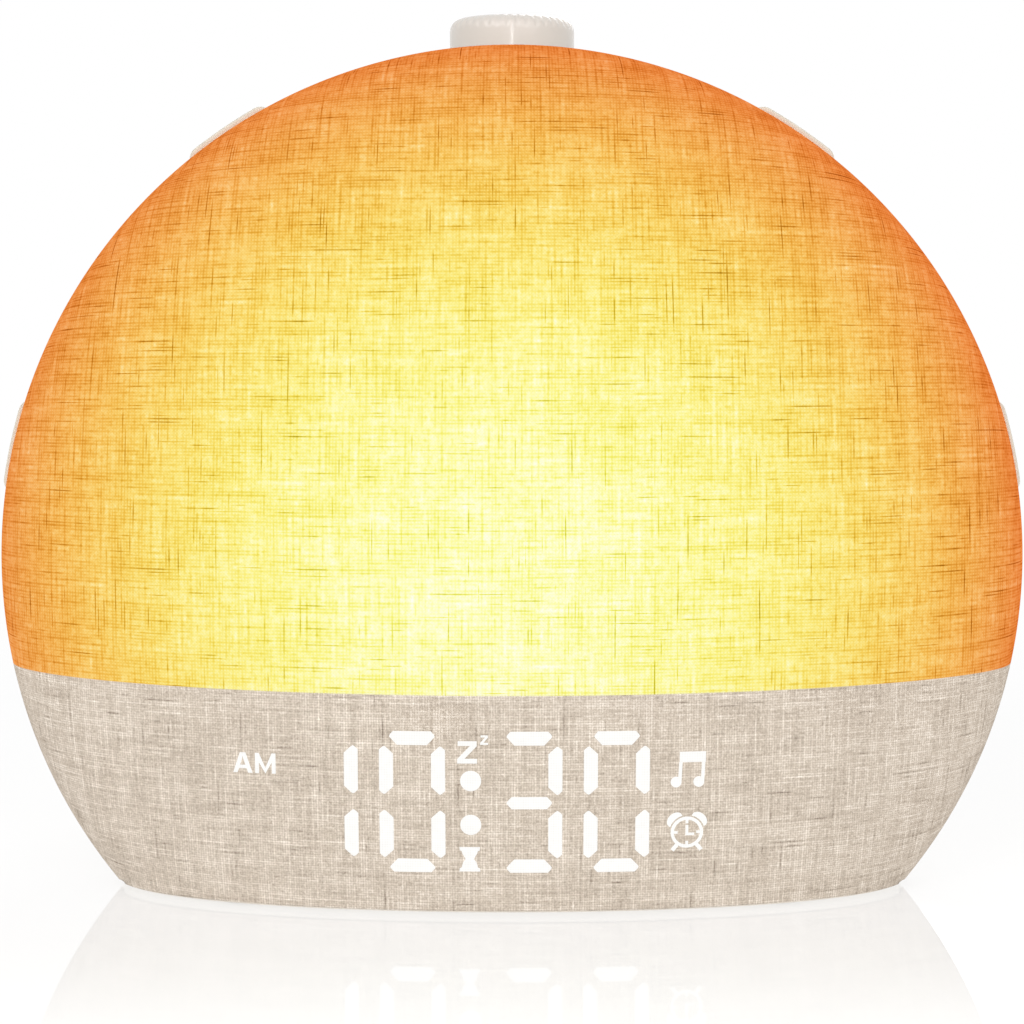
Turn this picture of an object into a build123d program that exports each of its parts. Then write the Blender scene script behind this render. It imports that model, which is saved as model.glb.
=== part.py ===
"""Sunrise alarm clock: a round lamp with a domed linen front, a clock display and a volume knob.

Frame: +X right, -Y front, +Z up, millimetres, floor at Z = 0.
The front dome, the case and the back cover are all turned about one line parallel to Y, the
dome axis. Most pieces are therefore drawn as half sections (radius, depth) and revolved.
Depth is counted from the rim plane, where dome and case meet: minus is towards the front.
"""
from build123d import *
from math import acos, asin, cos, degrees, hypot, pi, radians, sin, sqrt
import os

# ---- overall sizes ----
case_radius = 90.0       # linen, at the rim
axis_height = 58.2       # dome axis above the floor
dome_bulge = 25.2        # dome, in front of the rim plane
crown_angle = 1.5        # half the angle of the flat at the dome's crown, on its ellipse
case_depth = 58.8        # case and back cover, behind the rim plane
total_depth = dome_bulge + case_depth
rim_y = -total_depth / 2 + dome_bulge

# ---- walls and clearances ----
linen_thick = 0.6
cover_gap = 0.15         # between stretched linen and the shells under it
dome_wall = 2.2
case_wall = 2.4
air_gap = 0.3            # between neighbours that don't touch
fit_gap = 0.05           # shafts in bores, screws in holes, lenses in windows
seam_gap = 0.1           # between the two shells, and between case and back cover
contact_gap = 0.1        # boards, foam and feet in their seats
over_cut = 1.0           # cuts run this far past the face they open

# ---- base ----
foot_proud = 0.65
lip_thick = 0.4
step_thick = 2.1
foot_radius = 6.0
foot_sunk = 1.0
lip_bottom = foot_proud
lip_top = lip_bottom + lip_thick
step_top = lip_top + step_thick
floor_gap = 0.2          # between the base step and what stands above it

# ---- rim: the linen's hem and the case edge behind it ----
hem_back = 1.3
hem_width = 3.0
case_front = hem_back + cover_gap
skirt_back = hem_back - linen_thick - cover_gap

# ---- case profile ----
straight_depth = 12.0    # full radius as far back as this
taper_radius = 95.0      # the long curve behind it
corner_radius = 12.0     # the rounded corner of the back
screw_radius = 1.25
head_radius = 2.3
head_height = 1.4
head_gap = 0.3           # around a sunk screw head, and behind it
boss_radius = 3.0
frame_screw_length = 9.0
rear_screw_length = 12.0
base_screw_length = 8.0
speaker_screw_length = 3.8
case_bore = 10.0         # screw holes in the case's bosses

# ---- display and divider ----
divider_height = 38.5
digit_half_width = 4.33
digit_half_height = 11.05
bar_length = 8.3
bar_width = 2.35
digit_pitch = 14.55
colon_pitch = 19.47
digits_middle_height = 19.9
second_digit_x = -16.6
colon_radius = 1.7
colon_half_gap = 3.8

# ---- knob ----
knob_depth = 20.0
knob_radius = 11.5
knob_proud = 6.7         # above the case's highest line
knob_top = axis_height + case_radius + knob_proud
knob_height = 9.6
press_travel = 0.5
shoulder_height = 2.8    # the fluted, rounded shoulder under the knob's top
shoulder_width = 3.4
flute_count = 40
flute_width = 0.9
flute_depth = 0.25

# ---- keys on the rim ----
key_angles = {"key_upper_left": -34.0, "key_upper_right": 34.0,
              "key_lower_left": -77.6, "key_lower_right": 77.6}
key_half_angle = 5.5
key_front = 1.9
key_width = 7.2
key_proud = 1.25
key_end_round = 2.4      # across both ends
key_side_round = 0.6     # along the front and back edges
key_travel = 0.5
flange_overlap = 1.2
flange_thick = 1.5

section = Plane(origin=(0, rim_y, axis_height), x_dir=(1, 0, 0), z_dir=(0, 0, 1))
dome_axis = Axis((0, rim_y, axis_height), (0, 1, 0))
body_inset = linen_thick
inner_inset = body_inset + case_wall
shell_outer = linen_thick + cover_gap
shell_inner = shell_outer + dome_wall
os.makedirs("parts", exist_ok=True)


# ---------------------------------------------------------------- shared helpers
def save(builder, name):
    """Label a finished piece and write its STEP file."""
    builder.part.label = name
    export_step(builder.part, f"parts/{name}.step")


def at_depth(depth):
    """Plane across the clock at a depth, facing the front: its axes are world X and Z."""
    return Plane.XZ.offset(-(rim_y + depth))


def level(height):
    """Horizontal plane at a height, with its origin at the rim plane: its axes are X and depth."""
    return Plane(origin=(0, rim_y, height), x_dir=(1, 0, 0), z_dir=(0, 0, 1))


def section_at(angle):
    """Half-section plane at an angle from straight up, growing towards +X."""
    outward = Vector(sin(radians(angle)), 0, cos(radians(angle)))
    return Plane(origin=(0, rim_y, axis_height), x_dir=outward, z_dir=outward.cross(Vector(0, 1, 0)))


def on_circle(radius, angle):
    """World (X, Z) of a point at a radius and an angle from straight up."""
    return (radius * sin(radians(angle)), axis_height + radius * cos(radians(angle)))


def dome_half(inset, back=skirt_back):
    """Half section of the solid dome, drawn in by an inset and carried back to a depth.

    The crown is a small flat disc, which lies about a hundredth of a millimetre inside the ellipse.
    """
    radius, bulge = case_radius - inset, dome_bulge - inset
    crown_x, crown_y = radius * sin(radians(crown_angle)), -bulge * cos(radians(crown_angle))
    with BuildSketch(section) as half:
        with BuildLine():
            EllipticalCenterArc((0, 0), radius, bulge, start_angle=270 + crown_angle,
                                arc_size=90 - crown_angle)
            Polyline((radius, 0), (radius, back), (0, back), (0, crown_y), (crown_x, crown_y))
        make_face()
    return half.sketch


def dome_ring(outside, inside, back):
    """Half section of one dome shell between two insets, carried back to a depth."""
    return dome_half(outside, back) - dome_half(inside, back + over_cut)


# The case's long taper and its rear corner are two arcs that share a tangent.
full_back = case_depth + body_inset
taper_centre = case_radius - taper_radius
turn_sine = (full_back - straight_depth - corner_radius) / (taper_radius - corner_radius)
turn_angle = degrees(asin(turn_sine))
flat_radius = taper_centre + (taper_radius - corner_radius) * cos(asin(turn_sine))
seam_depth = straight_depth + taper_radius * turn_sine
corner_depth = full_back - corner_radius


def case_half(inset, front=0.0):
    """Half section of the solid case behind a depth, drawn in by an inset."""
    radius = case_radius - inset
    long_r, short_r = taper_radius - inset, corner_radius - inset
    with BuildSketch(section) as half:
        with BuildLine():
            Polyline((0, front), (radius, front), (radius, straight_depth))
            CenterArc((taper_centre, straight_depth), long_r, 0, turn_angle)
            CenterArc((flat_radius, corner_depth), short_r, turn_angle, 90 - turn_angle)
            Polyline((flat_radius, full_back - inset), (0, full_back - inset), (0, front))
        make_face()
    return half.sketch


def angle_at_height(radius, height):
    """Angle from straight up at which a circle about the dome axis passes a height."""
    return degrees(acos((height - axis_height) / radius))


def base_reach(depth):
    """Half width of the case's inside at a depth on its long taper, at the top of the base step."""
    behind = max(depth - straight_depth, 0)
    radius = taper_centre + sqrt((taper_radius - inner_inset) ** 2 - behind ** 2)
    return sqrt(radius ** 2 - (axis_height - step_top) ** 2)


def slab(low, high, front, back, half_width=2 * case_radius):
    """Algebra box between two heights and two depths, for trimming."""
    size = (2 * half_width, back - front, high - low)
    return Pos(0, rim_y + (front + back) / 2, (low + high) / 2) * Box(*size, mode=Mode.PRIVATE)


far = 2 * case_radius
above_lip = slab(lip_top, far, -far, far)

# ---------------------------------------------------------------- linen cover
hem_inner = case_radius - hem_width
linen_ring = dome_ring(0.0, linen_thick, hem_back)
with BuildPart() as linen_cover:
    revolve(linen_ring, axis=dome_axis)
    with BuildSketch(section):
        with Locations((case_radius - hem_width / 2, hem_back - linen_thick / 2)):
            Rectangle(hem_width, linen_thick)
    revolve(axis=dome_axis)
    add(above_lip, mode=Mode.INTERSECT)
save(linen_cover, "linen_cover")

# ---------------------------------------------------------------- diffuser dome (above the divider)
shell_ring = dome_ring(shell_outer, shell_inner, skirt_back)
with BuildPart() as diffuser_dome:
    revolve(shell_ring, axis=dome_axis)
    add(slab(divider_height + seam_gap / 2, far, -far, far), mode=Mode.INTERSECT)
save(diffuser_dome, "diffuser_dome")

# ---------------------------------------------------------------- display layout
digit_xs = [second_digit_x - digit_pitch, second_digit_x,
            second_digit_x + colon_pitch, second_digit_x + colon_pitch + digit_pitch]
colon_x = second_digit_x + colon_pitch / 2
upright_offset = digit_half_height / 2
icon_boxes = {  # each icon's window: centre X, centre height, width, height
    "meridiem": (-43.1, 25.9, 7.6, 4.0),
    "snooze": (-6.6, 29.1, 5.9, 5.4),
    "timer": (-7.05, 10.0, 3.9, 4.8),
    "melody": (29.4, 25.4, 6.5, 6.7),
    "alarm": (29.3, 14.5, 6.7, 7.7),
}


def bar_places():
    """Centre and turn of every bar: the first digit only shows a one, the others have seven bars."""
    places = []
    for index, x in enumerate(digit_xs):
        sides = [1] if index == 0 else [-1, 1]
        for side in sides:
            for row in (-1, 1):
                spot = (x + side * digit_half_width, digits_middle_height + row * upright_offset)
                places.append((spot, 90))
        for row in (-1, 0, 1) if index else ():
            places.append(((x, digits_middle_height + row * digit_half_height), 0))
    return places


def bar_face(spot, turn, grow):
    """A six-sided bar with pointed ends, grown on all sides."""
    half_long, half_wide = bar_length / 2 + grow, bar_width / 2 + grow
    shoulder = half_long - half_wide
    corners = [(half_long, 0), (shoulder, half_wide), (-shoulder, half_wide),
               (-half_long, 0), (-shoulder, -half_wide), (shoulder, -half_wide)]
    with BuildSketch(Plane.XY) as face:
        Polygon(*corners, align=None)
    return Pos(*spot) * Rot(0, 0, turn) * face.sketch


def display_faces(grow):
    """Bars, colon dots and icon windows as flat faces, each grown by the same amount."""
    faces = [bar_face(spot, turn, grow) for spot, turn in bar_places()]
    for side in (-1, 1):
        dot = Pos(colon_x, digits_middle_height + side * colon_half_gap) * Circle(colon_radius + grow)
        faces.append(dot)
    return faces


def icon_faces(grow):
    """Icon windows as plain rectangles with rounded corners."""
    return [Pos(x, height) * RectangleRounded(wide + 2 * grow, tall + 2 * grow, 0.6)
            for x, height, wide, tall in icon_boxes.values()]


def placed(faces, depth):
    """Move flat faces into the plane at a depth."""
    return [at_depth(depth) * face for face in faces]


# ---------------------------------------------------------------- display panel (below the divider)
board_front = -8.0
board_thick = 1.6
board_half_width = 56.0
board_low = step_top + 1.1
board_high = divider_height - 3.5
board_screw_x = 52.0
board_screw_heights = (9.0, 30.0)
small_screw = 1.0
small_head = 1.8
small_screw_length = 4.8
slot_width, slot_depth = 0.5, 0.7
slot_length = 1.1        # a cross slot's length, in head radii
well_gap = 0.2
window_faces = placed(display_faces(fit_gap) + icon_faces(fit_gap), board_front)
lens_faces = placed(display_faces(0.0), board_front)
icon_lens_faces = placed(icon_faces(0.0), board_front)
well_faces = placed(display_faces(well_gap) + icon_faces(well_gap), board_front)
panel_bore = 4.0
panel_core = dome_half(shell_outer + dome_wall / 2)
with BuildPart() as display_panel:
    with BuildSketch(at_depth(board_front)):
        for side in (-1, 1):
            for height in board_screw_heights:
                with Locations((side * board_screw_x, height)):
                    Circle(boss_radius)
    extrude(amount=dome_bulge)
    revolve(panel_core, axis=dome_axis, mode=Mode.INTERSECT)
    revolve(shell_ring, axis=dome_axis)
    add(slab(lip_top, divider_height - seam_gap / 2, -far, far), mode=Mode.INTERSECT)
    with BuildSketch(at_depth(board_front)):
        for side in (-1, 1):
            for height in board_screw_heights:
                with Locations((side * board_screw_x, height)):
                    Circle(small_screw + fit_gap)
    extrude(amount=panel_bore, mode=Mode.SUBTRACT)
    for face in window_faces:
        extrude(face.faces(), amount=dome_bulge, mode=Mode.SUBTRACT)
save(display_panel, "display_panel")

# ---------------------------------------------------------------- segment and icon lenses
with BuildPart() as digit_lenses:
    for face in lens_faces:
        extrude(face.faces(), amount=dome_bulge)
    revolve(shell_ring, axis=dome_axis, mode=Mode.INTERSECT)
save(digit_lenses, "digit_lenses")

with BuildPart() as icon_lenses:
    for face in icon_lens_faces:
        extrude(face.faces(), amount=dome_bulge)
    revolve(shell_ring, axis=dome_axis, mode=Mode.INTERSECT)
save(icon_lenses, "icon_lenses")

# ---------------------------------------------------------------- display block with a light well per lens
block_left, block_right = -48.6, 36.0
block_low, block_high = board_low + 0.8, board_high - 0.4
block_core = dome_half(shell_inner + air_gap)
with BuildPart() as display_block:
    with BuildSketch(at_depth(board_front)):
        with Locations(((block_left + block_right) / 2, (block_low + block_high) / 2)):
            Rectangle(block_right - block_left, block_high - block_low)
    extrude(amount=dome_bulge)
    revolve(block_core, axis=dome_axis, mode=Mode.INTERSECT)
    for face in well_faces:
        extrude(face.faces(), amount=dome_bulge, mode=Mode.SUBTRACT)
save(display_block, "display_block")

# ---------------------------------------------------------------- display board and its LEDs
with BuildPart() as display_board:
    with BuildSketch(at_depth(board_front)):
        with Locations((0, (board_low + board_high) / 2)):
            Rectangle(2 * board_half_width, board_high - board_low)
        for side in (-1, 1):
            for height in board_screw_heights:
                with Locations((side * board_screw_x, height)):
                    Circle(small_screw + fit_gap, mode=Mode.SUBTRACT)
    extrude(amount=-board_thick)
save(display_board, "display_board")

led_long, led_wide, led_tall = 1.6, 0.8, 0.7
led_places = bar_places()
led_places += [((colon_x, digits_middle_height + side * colon_half_gap), 0) for side in (-1, 1)]
led_places += [((x, height), 0) for x, height, wide, tall in icon_boxes.values()]
with BuildPart() as display_leds:
    with BuildSketch(at_depth(board_front)):
        for spot, turn in led_places:
            with Locations(spot):
                Rectangle(led_long, led_wide, rotation=turn)
    extrude(amount=led_tall)
save(display_leds, "display_leds")

# ---------------------------------------------------------------- front frame
plate_outer = hem_inner - 2 * air_gap
frame_wall = 1.6
frame_lip_front = -1.6
lip_inner = plate_outer - frame_wall
hoop_outer = case_radius - 10.4
hoop_inner = hoop_outer - 2.4
ledge_inner = hoop_inner - 2.6
ledge_front, ledge_back = 3.2, 4.6
plate_front, plate_back = 0.1, case_front + cover_gap
hoop_back = 10.0
frame_screw_circle = case_radius - 7.7
frame_boss_radius = 2.6
low_frame_screw = 14.2   # height of the lowest pair
frame_screw_angles = [sign * angle for angle in
                      (14, 94, angle_at_height(frame_screw_circle, low_frame_screw)) for sign in (-1, 1)]
bar_top = 8.0
bar_reach = sqrt(hoop_outer ** 2 - (axis_height - bar_top) ** 2)
with BuildPart() as front_frame:
    with BuildSketch(section):
        with BuildLine():
            Polyline((lip_inner, frame_lip_front), (plate_outer, frame_lip_front), (plate_outer, plate_back),
                     (hoop_outer, plate_back), (hoop_outer, hoop_back), (hoop_inner, hoop_back),
                     (hoop_inner, ledge_back), (ledge_inner, ledge_back), (ledge_inner, ledge_front),
                     (hoop_inner, ledge_front), (hoop_inner, plate_front), (lip_inner, plate_front),
                     close=True)
        make_face()
    revolve(axis=dome_axis)
    add(slab(step_top + floor_gap, far, -far, far), mode=Mode.INTERSECT)
    add(slab(step_top + floor_gap, bar_top, plate_front, plate_back, half_width=bar_reach))
    with BuildSketch(at_depth(plate_back)):
        for angle in frame_screw_angles:
            with Locations(on_circle(frame_screw_circle, angle)):
                Circle(screw_radius + fit_gap)
    extrude(amount=plate_back, mode=Mode.SUBTRACT)
save(front_frame, "front_frame")

# ---------------------------------------------------------------- light baffle and its foam seal
baffle_thick = 1.6
foam_thick = 1.5
baffle_low, baffle_high = divider_height - baffle_thick / 2, divider_height + baffle_thick / 2
tray_floor_front, tray_wall = 8.0, 1.6
tray_floor_back = tray_floor_front + tray_wall
baffle_front_back = -1.9
baffle_half = sqrt(ledge_inner ** 2 - (axis_height - baffle_low) ** 2) - air_gap
baffle_overlap = 0.5
foam_outer = shell_inner + contact_gap
baffle_core = dome_half(foam_outer + foam_thick + fit_gap)
foam_ring = dome_ring(foam_outer, foam_outer + foam_thick, skirt_back)
baffle_slab = slab(baffle_low, baffle_high, -far, baffle_front_back)
with BuildPart() as light_baffle:
    revolve(baffle_core, axis=dome_axis)
    add(baffle_slab, mode=Mode.INTERSECT)
    add(slab(baffle_low, baffle_high, baffle_front_back - baffle_overlap, tray_floor_back,
             half_width=baffle_half))
save(light_baffle, "light_baffle")

with BuildPart() as baffle_foam:
    revolve(foam_ring, axis=dome_axis)
    add(baffle_slab, mode=Mode.INTERSECT)
save(baffle_foam, "baffle_foam")

# ---------------------------------------------------------------- reflector tray, LED board and LEDs
tray_rim = hoop_inner - air_gap
tray_rim_front, tray_rim_back = 1.8, ledge_front
tray_wall_radius = tray_rim - 2.9
tray_floor_radius = tray_wall_radius - 14.0
tray_boss_height, tray_bore = 5.0, 5.6
tray_low = baffle_high + contact_gap
sun_board_radius = tray_floor_radius - 4.0
sun_board_low = tray_low + 2.6
sun_board_thick = 1.6
sun_board_front = tray_floor_front - sun_board_thick
sun_screws = [on_circle(sun_board_radius - 7.0, angle) for angle in (-90, -35, 35, 90)]
lead_hole = (-30.0, 48.0)
lead_radius = 0.9
with BuildPart() as reflector_tray:
    with BuildSketch(section):
        with BuildLine():
            Polyline((0, tray_floor_front), (tray_floor_radius, tray_floor_front),
                     (tray_wall_radius, tray_rim_front), (tray_rim, tray_rim_front),
                     (tray_rim, tray_rim_back), (tray_wall_radius, tray_rim_back),
                     (tray_floor_radius, tray_floor_back), (0, tray_floor_back), close=True)
        make_face()
    revolve(axis=dome_axis)
    with BuildSketch(at_depth(tray_floor_back)):
        for spot in sun_screws:
            with Locations(spot):
                Circle(boss_radius)
    extrude(amount=-tray_boss_height)
    add(slab(tray_low, far, -far, far), mode=Mode.INTERSECT)
    with BuildSketch(at_depth(tray_floor_front)):
        for spot in sun_screws:
            with Locations(spot):
                Circle(small_screw + fit_gap)
    extrude(amount=-tray_bore, mode=Mode.SUBTRACT)
    with BuildSketch(at_depth(tray_floor_front)):
        with Locations(lead_hole):
            Circle(lead_radius + air_gap)
    extrude(amount=-2 * tray_wall, mode=Mode.SUBTRACT)
save(reflector_tray, "reflector_tray")

with BuildPart() as led_board:
    with BuildSketch(at_depth(sun_board_front)):
        with Locations((0, axis_height)):
            Circle(sun_board_radius)
        with Locations((0, sun_board_low - case_radius)):
            Rectangle(4 * case_radius, 2 * case_radius, mode=Mode.SUBTRACT)
        for spot in sun_screws:
            with Locations(spot):
                Circle(small_screw + fit_gap, mode=Mode.SUBTRACT)
    extrude(amount=-sun_board_thick)
save(led_board, "led_board")

sun_led_wide, sun_led_tall, sun_led_thick = 2.8, 3.5, 0.8
sun_led_pitch_x, sun_led_pitch_z = 14.0, 13.0
sun_led_circle = sun_board_radius - 4.0
first_sun_row = sun_board_low + sun_led_pitch_z / 2
side_columns = int(sun_led_circle / sun_led_pitch_x)
sun_rows = int((axis_height + sun_led_circle - first_sun_row) / sun_led_pitch_z) + 1
with BuildPart() as sun_leds:
    with BuildSketch(at_depth(sun_board_front)):
        for row in range(sun_rows):
            for column in range(-side_columns, side_columns + 1):
                spot_x = column * sun_led_pitch_x
                spot_z = first_sun_row + row * sun_led_pitch_z
                clear = min(hypot(spot_x - x, spot_z - z) for x, z in sun_screws) > small_head + sun_led_tall
                if clear and hypot(spot_x, spot_z - axis_height) < sun_led_circle:
                    with Locations((spot_x, spot_z)):
                        Rectangle(sun_led_wide, sun_led_tall)
    extrude(amount=sun_led_thick)
save(sun_leds, "sun_leds")

# ---------------------------------------------------------------- case: shell, bosses, knob well, key notches
well_radius = knob_radius + 0.7   # the knob turns and sinks in this well
well_wall = 2.2
knob_bottom = knob_top - knob_height
well_floor = knob_bottom - press_travel - 0.4
well_under = well_floor - case_wall
knob_y = rim_y + knob_depth
bushing_radius = 3.5
rear_screw_circle = flat_radius - 1.6
low_rear_screw = 18.5    # height of the lowest pair
rear_screw_angles = [sign * angle for angle in
                     (30, 90, angle_at_height(rear_screw_circle, low_rear_screw)) for sign in (-1, 1)]
case_back = seam_depth - seam_gap / 2
spigot_front = seam_depth - 4.8
spigot_root = seam_depth + 3.0
spigot_wall = 1.8
spigot_outer = taper_centre + (taper_radius - inner_inset) * cos(asin(turn_sine)) - 1.0
spigot_inner = spigot_outer - spigot_wall
web_back = spigot_front - 1.0
web_half = 1.2
frame_boss_back = 14.0
rear_boss_front = seam_depth - 16.5
base_boss_front, base_boss_back = 14.0, seam_depth - 10.5
front_boss_x = base_reach(base_boss_front) - 6.8
back_boss_x = base_reach(base_boss_back) - 9.2
base_boss_spots = [(-front_boss_x, base_boss_front), (front_boss_x, base_boss_front),
                   (-back_boss_x, base_boss_back), (back_boss_x, base_boss_back)]
base_boss_top = 13.0
base_web = 24.0
notch_gap = 0.3
notch_front = case_front - 2 * over_cut
notch_cut = 8.0
notch_back = key_front + key_width + notch_gap
notch_half_angle = key_half_angle + degrees(notch_gap / case_radius)


def radial_web(radius, angle, width):
    """Flat face that runs outwards from a radius, along one angle."""
    reach = case_radius - radius
    middle = on_circle(radius + reach / 2, angle)
    return Pos(*middle) * Rot(0, 0, 90 - angle) * Rectangle(reach, width)


frame_webs = [at_depth(plate_back) * radial_web(frame_screw_circle, a, 2 * frame_boss_radius)
              for a in frame_screw_angles]
rear_webs = [at_depth(rear_boss_front) * radial_web(rear_screw_circle, a, 2 * web_half)
             for a in rear_screw_angles]
case_core = case_half(body_inset + case_wall / 2)
case_ring = case_half(body_inset, case_front) - case_half(inner_inset, case_front - over_cut)
with BuildPart() as body_shell:
    with BuildSketch(at_depth(plate_back)):
        for angle in frame_screw_angles:
            with Locations(on_circle(frame_screw_circle, angle)):
                Circle(frame_boss_radius)
    extrude(amount=plate_back - frame_boss_back)
    for web in frame_webs:
        extrude(web.faces(), amount=plate_back - frame_boss_back)
    with BuildSketch(at_depth(rear_boss_front)):
        for angle in rear_screw_angles:
            with Locations(on_circle(rear_screw_circle, angle)):
                Circle(boss_radius)
    extrude(amount=rear_boss_front - case_back)
    for web in rear_webs:
        extrude(web.faces(), amount=rear_boss_front - web_back)
    with BuildSketch(level(step_top)):
        for x, depth in base_boss_spots:
            with Locations((x, depth)):
                Circle(boss_radius)
            with Locations((x + (1 if x > 0 else -1) * base_web / 2, depth)):
                Rectangle(base_web, 2 * web_half)
    extrude(amount=base_boss_top - step_top)
    with BuildSketch(Plane(origin=(0, knob_y, well_under), z_dir=(0, 0, 1))):
        Circle(well_radius + well_wall)
    extrude(amount=knob_height)
    revolve(case_core, axis=dome_axis, mode=Mode.INTERSECT)
    revolve(case_ring, axis=dome_axis)
    add(slab(lip_top, far, -far, case_back), mode=Mode.INTERSECT)
    with BuildSketch(Plane(origin=(0, knob_y, well_floor), z_dir=(0, 0, 1))):
        Circle(well_radius)
    extrude(amount=2 * knob_height, mode=Mode.SUBTRACT)
    with BuildSketch(Plane(origin=(0, knob_y, well_under - over_cut), z_dir=(0, 0, 1))):
        Circle(bushing_radius + fit_gap)
    extrude(amount=case_wall + 2 * over_cut, mode=Mode.SUBTRACT)
    for angle in key_angles.values():
        with BuildSketch(section_at(angle - notch_half_angle)):
            with Locations((case_radius, (notch_front + notch_back) / 2)):
                Rectangle(notch_cut, notch_back - notch_front)
        revolve(axis=dome_axis, revolution_arc=2 * notch_half_angle, mode=Mode.SUBTRACT)
    with BuildSketch(at_depth(plate_back)):
        for angle in frame_screw_angles:
            with Locations(on_circle(frame_screw_circle, angle)):
                Circle(screw_radius + fit_gap)
    extrude(amount=-case_bore, mode=Mode.SUBTRACT)
    with BuildSketch(at_depth(case_back)):
        for angle in rear_screw_angles:
            with Locations(on_circle(rear_screw_circle, angle)):
                Circle(screw_radius + fit_gap)
    extrude(amount=case_bore, mode=Mode.SUBTRACT)
    with BuildSketch(level(step_top)):
        for spot in base_boss_spots:
            with Locations(spot):
                Circle(screw_radius + fit_gap)
    extrude(amount=base_screw_length, mode=Mode.SUBTRACT)
save(body_shell, "body_shell")

# ---------------------------------------------------------------- back cover
rear_outer = case_depth
rear_inner = rear_outer - case_wall
speaker_height = axis_height + 12.0
speaker_radius = 28.0
speaker_ear_circle = 29.6
speaker_ear_radius = 4.0
gasket_thick = 1.4
flange_depth = rear_inner - gasket_thick
grille_pitch, grille_hole, grille_rings = 3.6, 1.0, 6
main_board_bottom = 8.0
main_board_thick = 1.6
main_board_top = main_board_bottom + main_board_thick
usb_width, usb_height, usb_length = 8.94, 3.26, 7.35
usb_mouth = rear_outer - 1.3
usb_gap = 0.3
round_less = 0.1         # rounded ends stop this short of a half circle
speaker_bore = 2.8
usb_middle = main_board_top + usb_height / 2
plug_pocket_width, plug_pocket_height, plug_pocket_depth = 12.6, 7.0, 1.0


def speaker_ears():
    """World (X, Z) of the speaker's four screws."""
    diagonal = speaker_ear_circle * sqrt(0.5)
    return [(a * diagonal, speaker_height + b * diagonal) for a in (-1, 1) for b in (-1, 1)]


with BuildPart() as rear_wall:
    revolve(case_ring, axis=dome_axis)
    add(slab(lip_top, far, seam_depth + seam_gap / 2, far), mode=Mode.INTERSECT)

with BuildPart() as rear_cover:
    with BuildSketch(at_depth(rear_inner)):
        for angle in rear_screw_angles:
            with Locations(on_circle(rear_screw_circle, angle)):
                Circle(boss_radius)
    extrude(amount=rear_inner - seam_depth - seam_gap / 2)
    with BuildSketch(at_depth(rear_inner)):
        for spot in speaker_ears():
            with Locations(spot):
                Circle(boss_radius)
    extrude(amount=gasket_thick)
    with BuildSketch(at_depth(spigot_root)):
        with Locations((0, axis_height)):
            Circle(spigot_outer)
            Circle(spigot_inner, mode=Mode.SUBTRACT)
    extrude(amount=spigot_root - spigot_front)
    add(slab(step_top + floor_gap, far, -far, far), mode=Mode.INTERSECT)
    add(rear_wall.part)
    with BuildSketch(at_depth(rear_outer)):
        for angle in rear_screw_angles:
            with Locations(on_circle(rear_screw_circle, angle)):
                Circle(screw_radius + fit_gap)
    extrude(amount=case_bore, mode=Mode.SUBTRACT)
    with BuildSketch(at_depth(rear_outer)):
        for angle in rear_screw_angles:
            with Locations(on_circle(rear_screw_circle, angle)):
                Circle(head_radius + head_gap)
    extrude(amount=head_height + head_gap, mode=Mode.SUBTRACT)
    with BuildSketch(at_depth(flange_depth)):
        for spot in speaker_ears():
            with Locations(spot):
                Circle(small_screw + fit_gap)
    extrude(amount=-speaker_bore, mode=Mode.SUBTRACT)
    with BuildSketch(at_depth(rear_outer)):
        with Locations((0, speaker_height)):
            Circle(grille_hole)
            for ring in range(1, grille_rings + 1):
                with PolarLocations(ring * grille_pitch, 6 * ring):
                    Circle(grille_hole)
    extrude(amount=case_wall, mode=Mode.SUBTRACT)
    with BuildSketch(at_depth(rear_outer)):
        with Locations((0, usb_middle)):
            RectangleRounded(plug_pocket_width, plug_pocket_height, plug_pocket_height / 2 - round_less)
    extrude(amount=plug_pocket_depth, mode=Mode.SUBTRACT)
    with BuildSketch(at_depth(rear_outer)):
        with Locations((0, usb_middle)):
            RectangleRounded(usb_width + 2 * usb_gap, usb_height + 2 * usb_gap,
                             usb_height / 2 + usb_gap - round_less)
    extrude(amount=case_wall, mode=Mode.SUBTRACT)
save(rear_cover, "rear_cover")

# ---------------------------------------------------------------- base plate and feet
board_half_x = 40.0
main_front, main_back = 10.5, rear_inner - air_gap


def on_board(x, share):
    """Spot on the main board: X, and the depth at a share of the board's own depth from its front."""
    return (x, main_front + share * (main_back - main_front))


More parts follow.
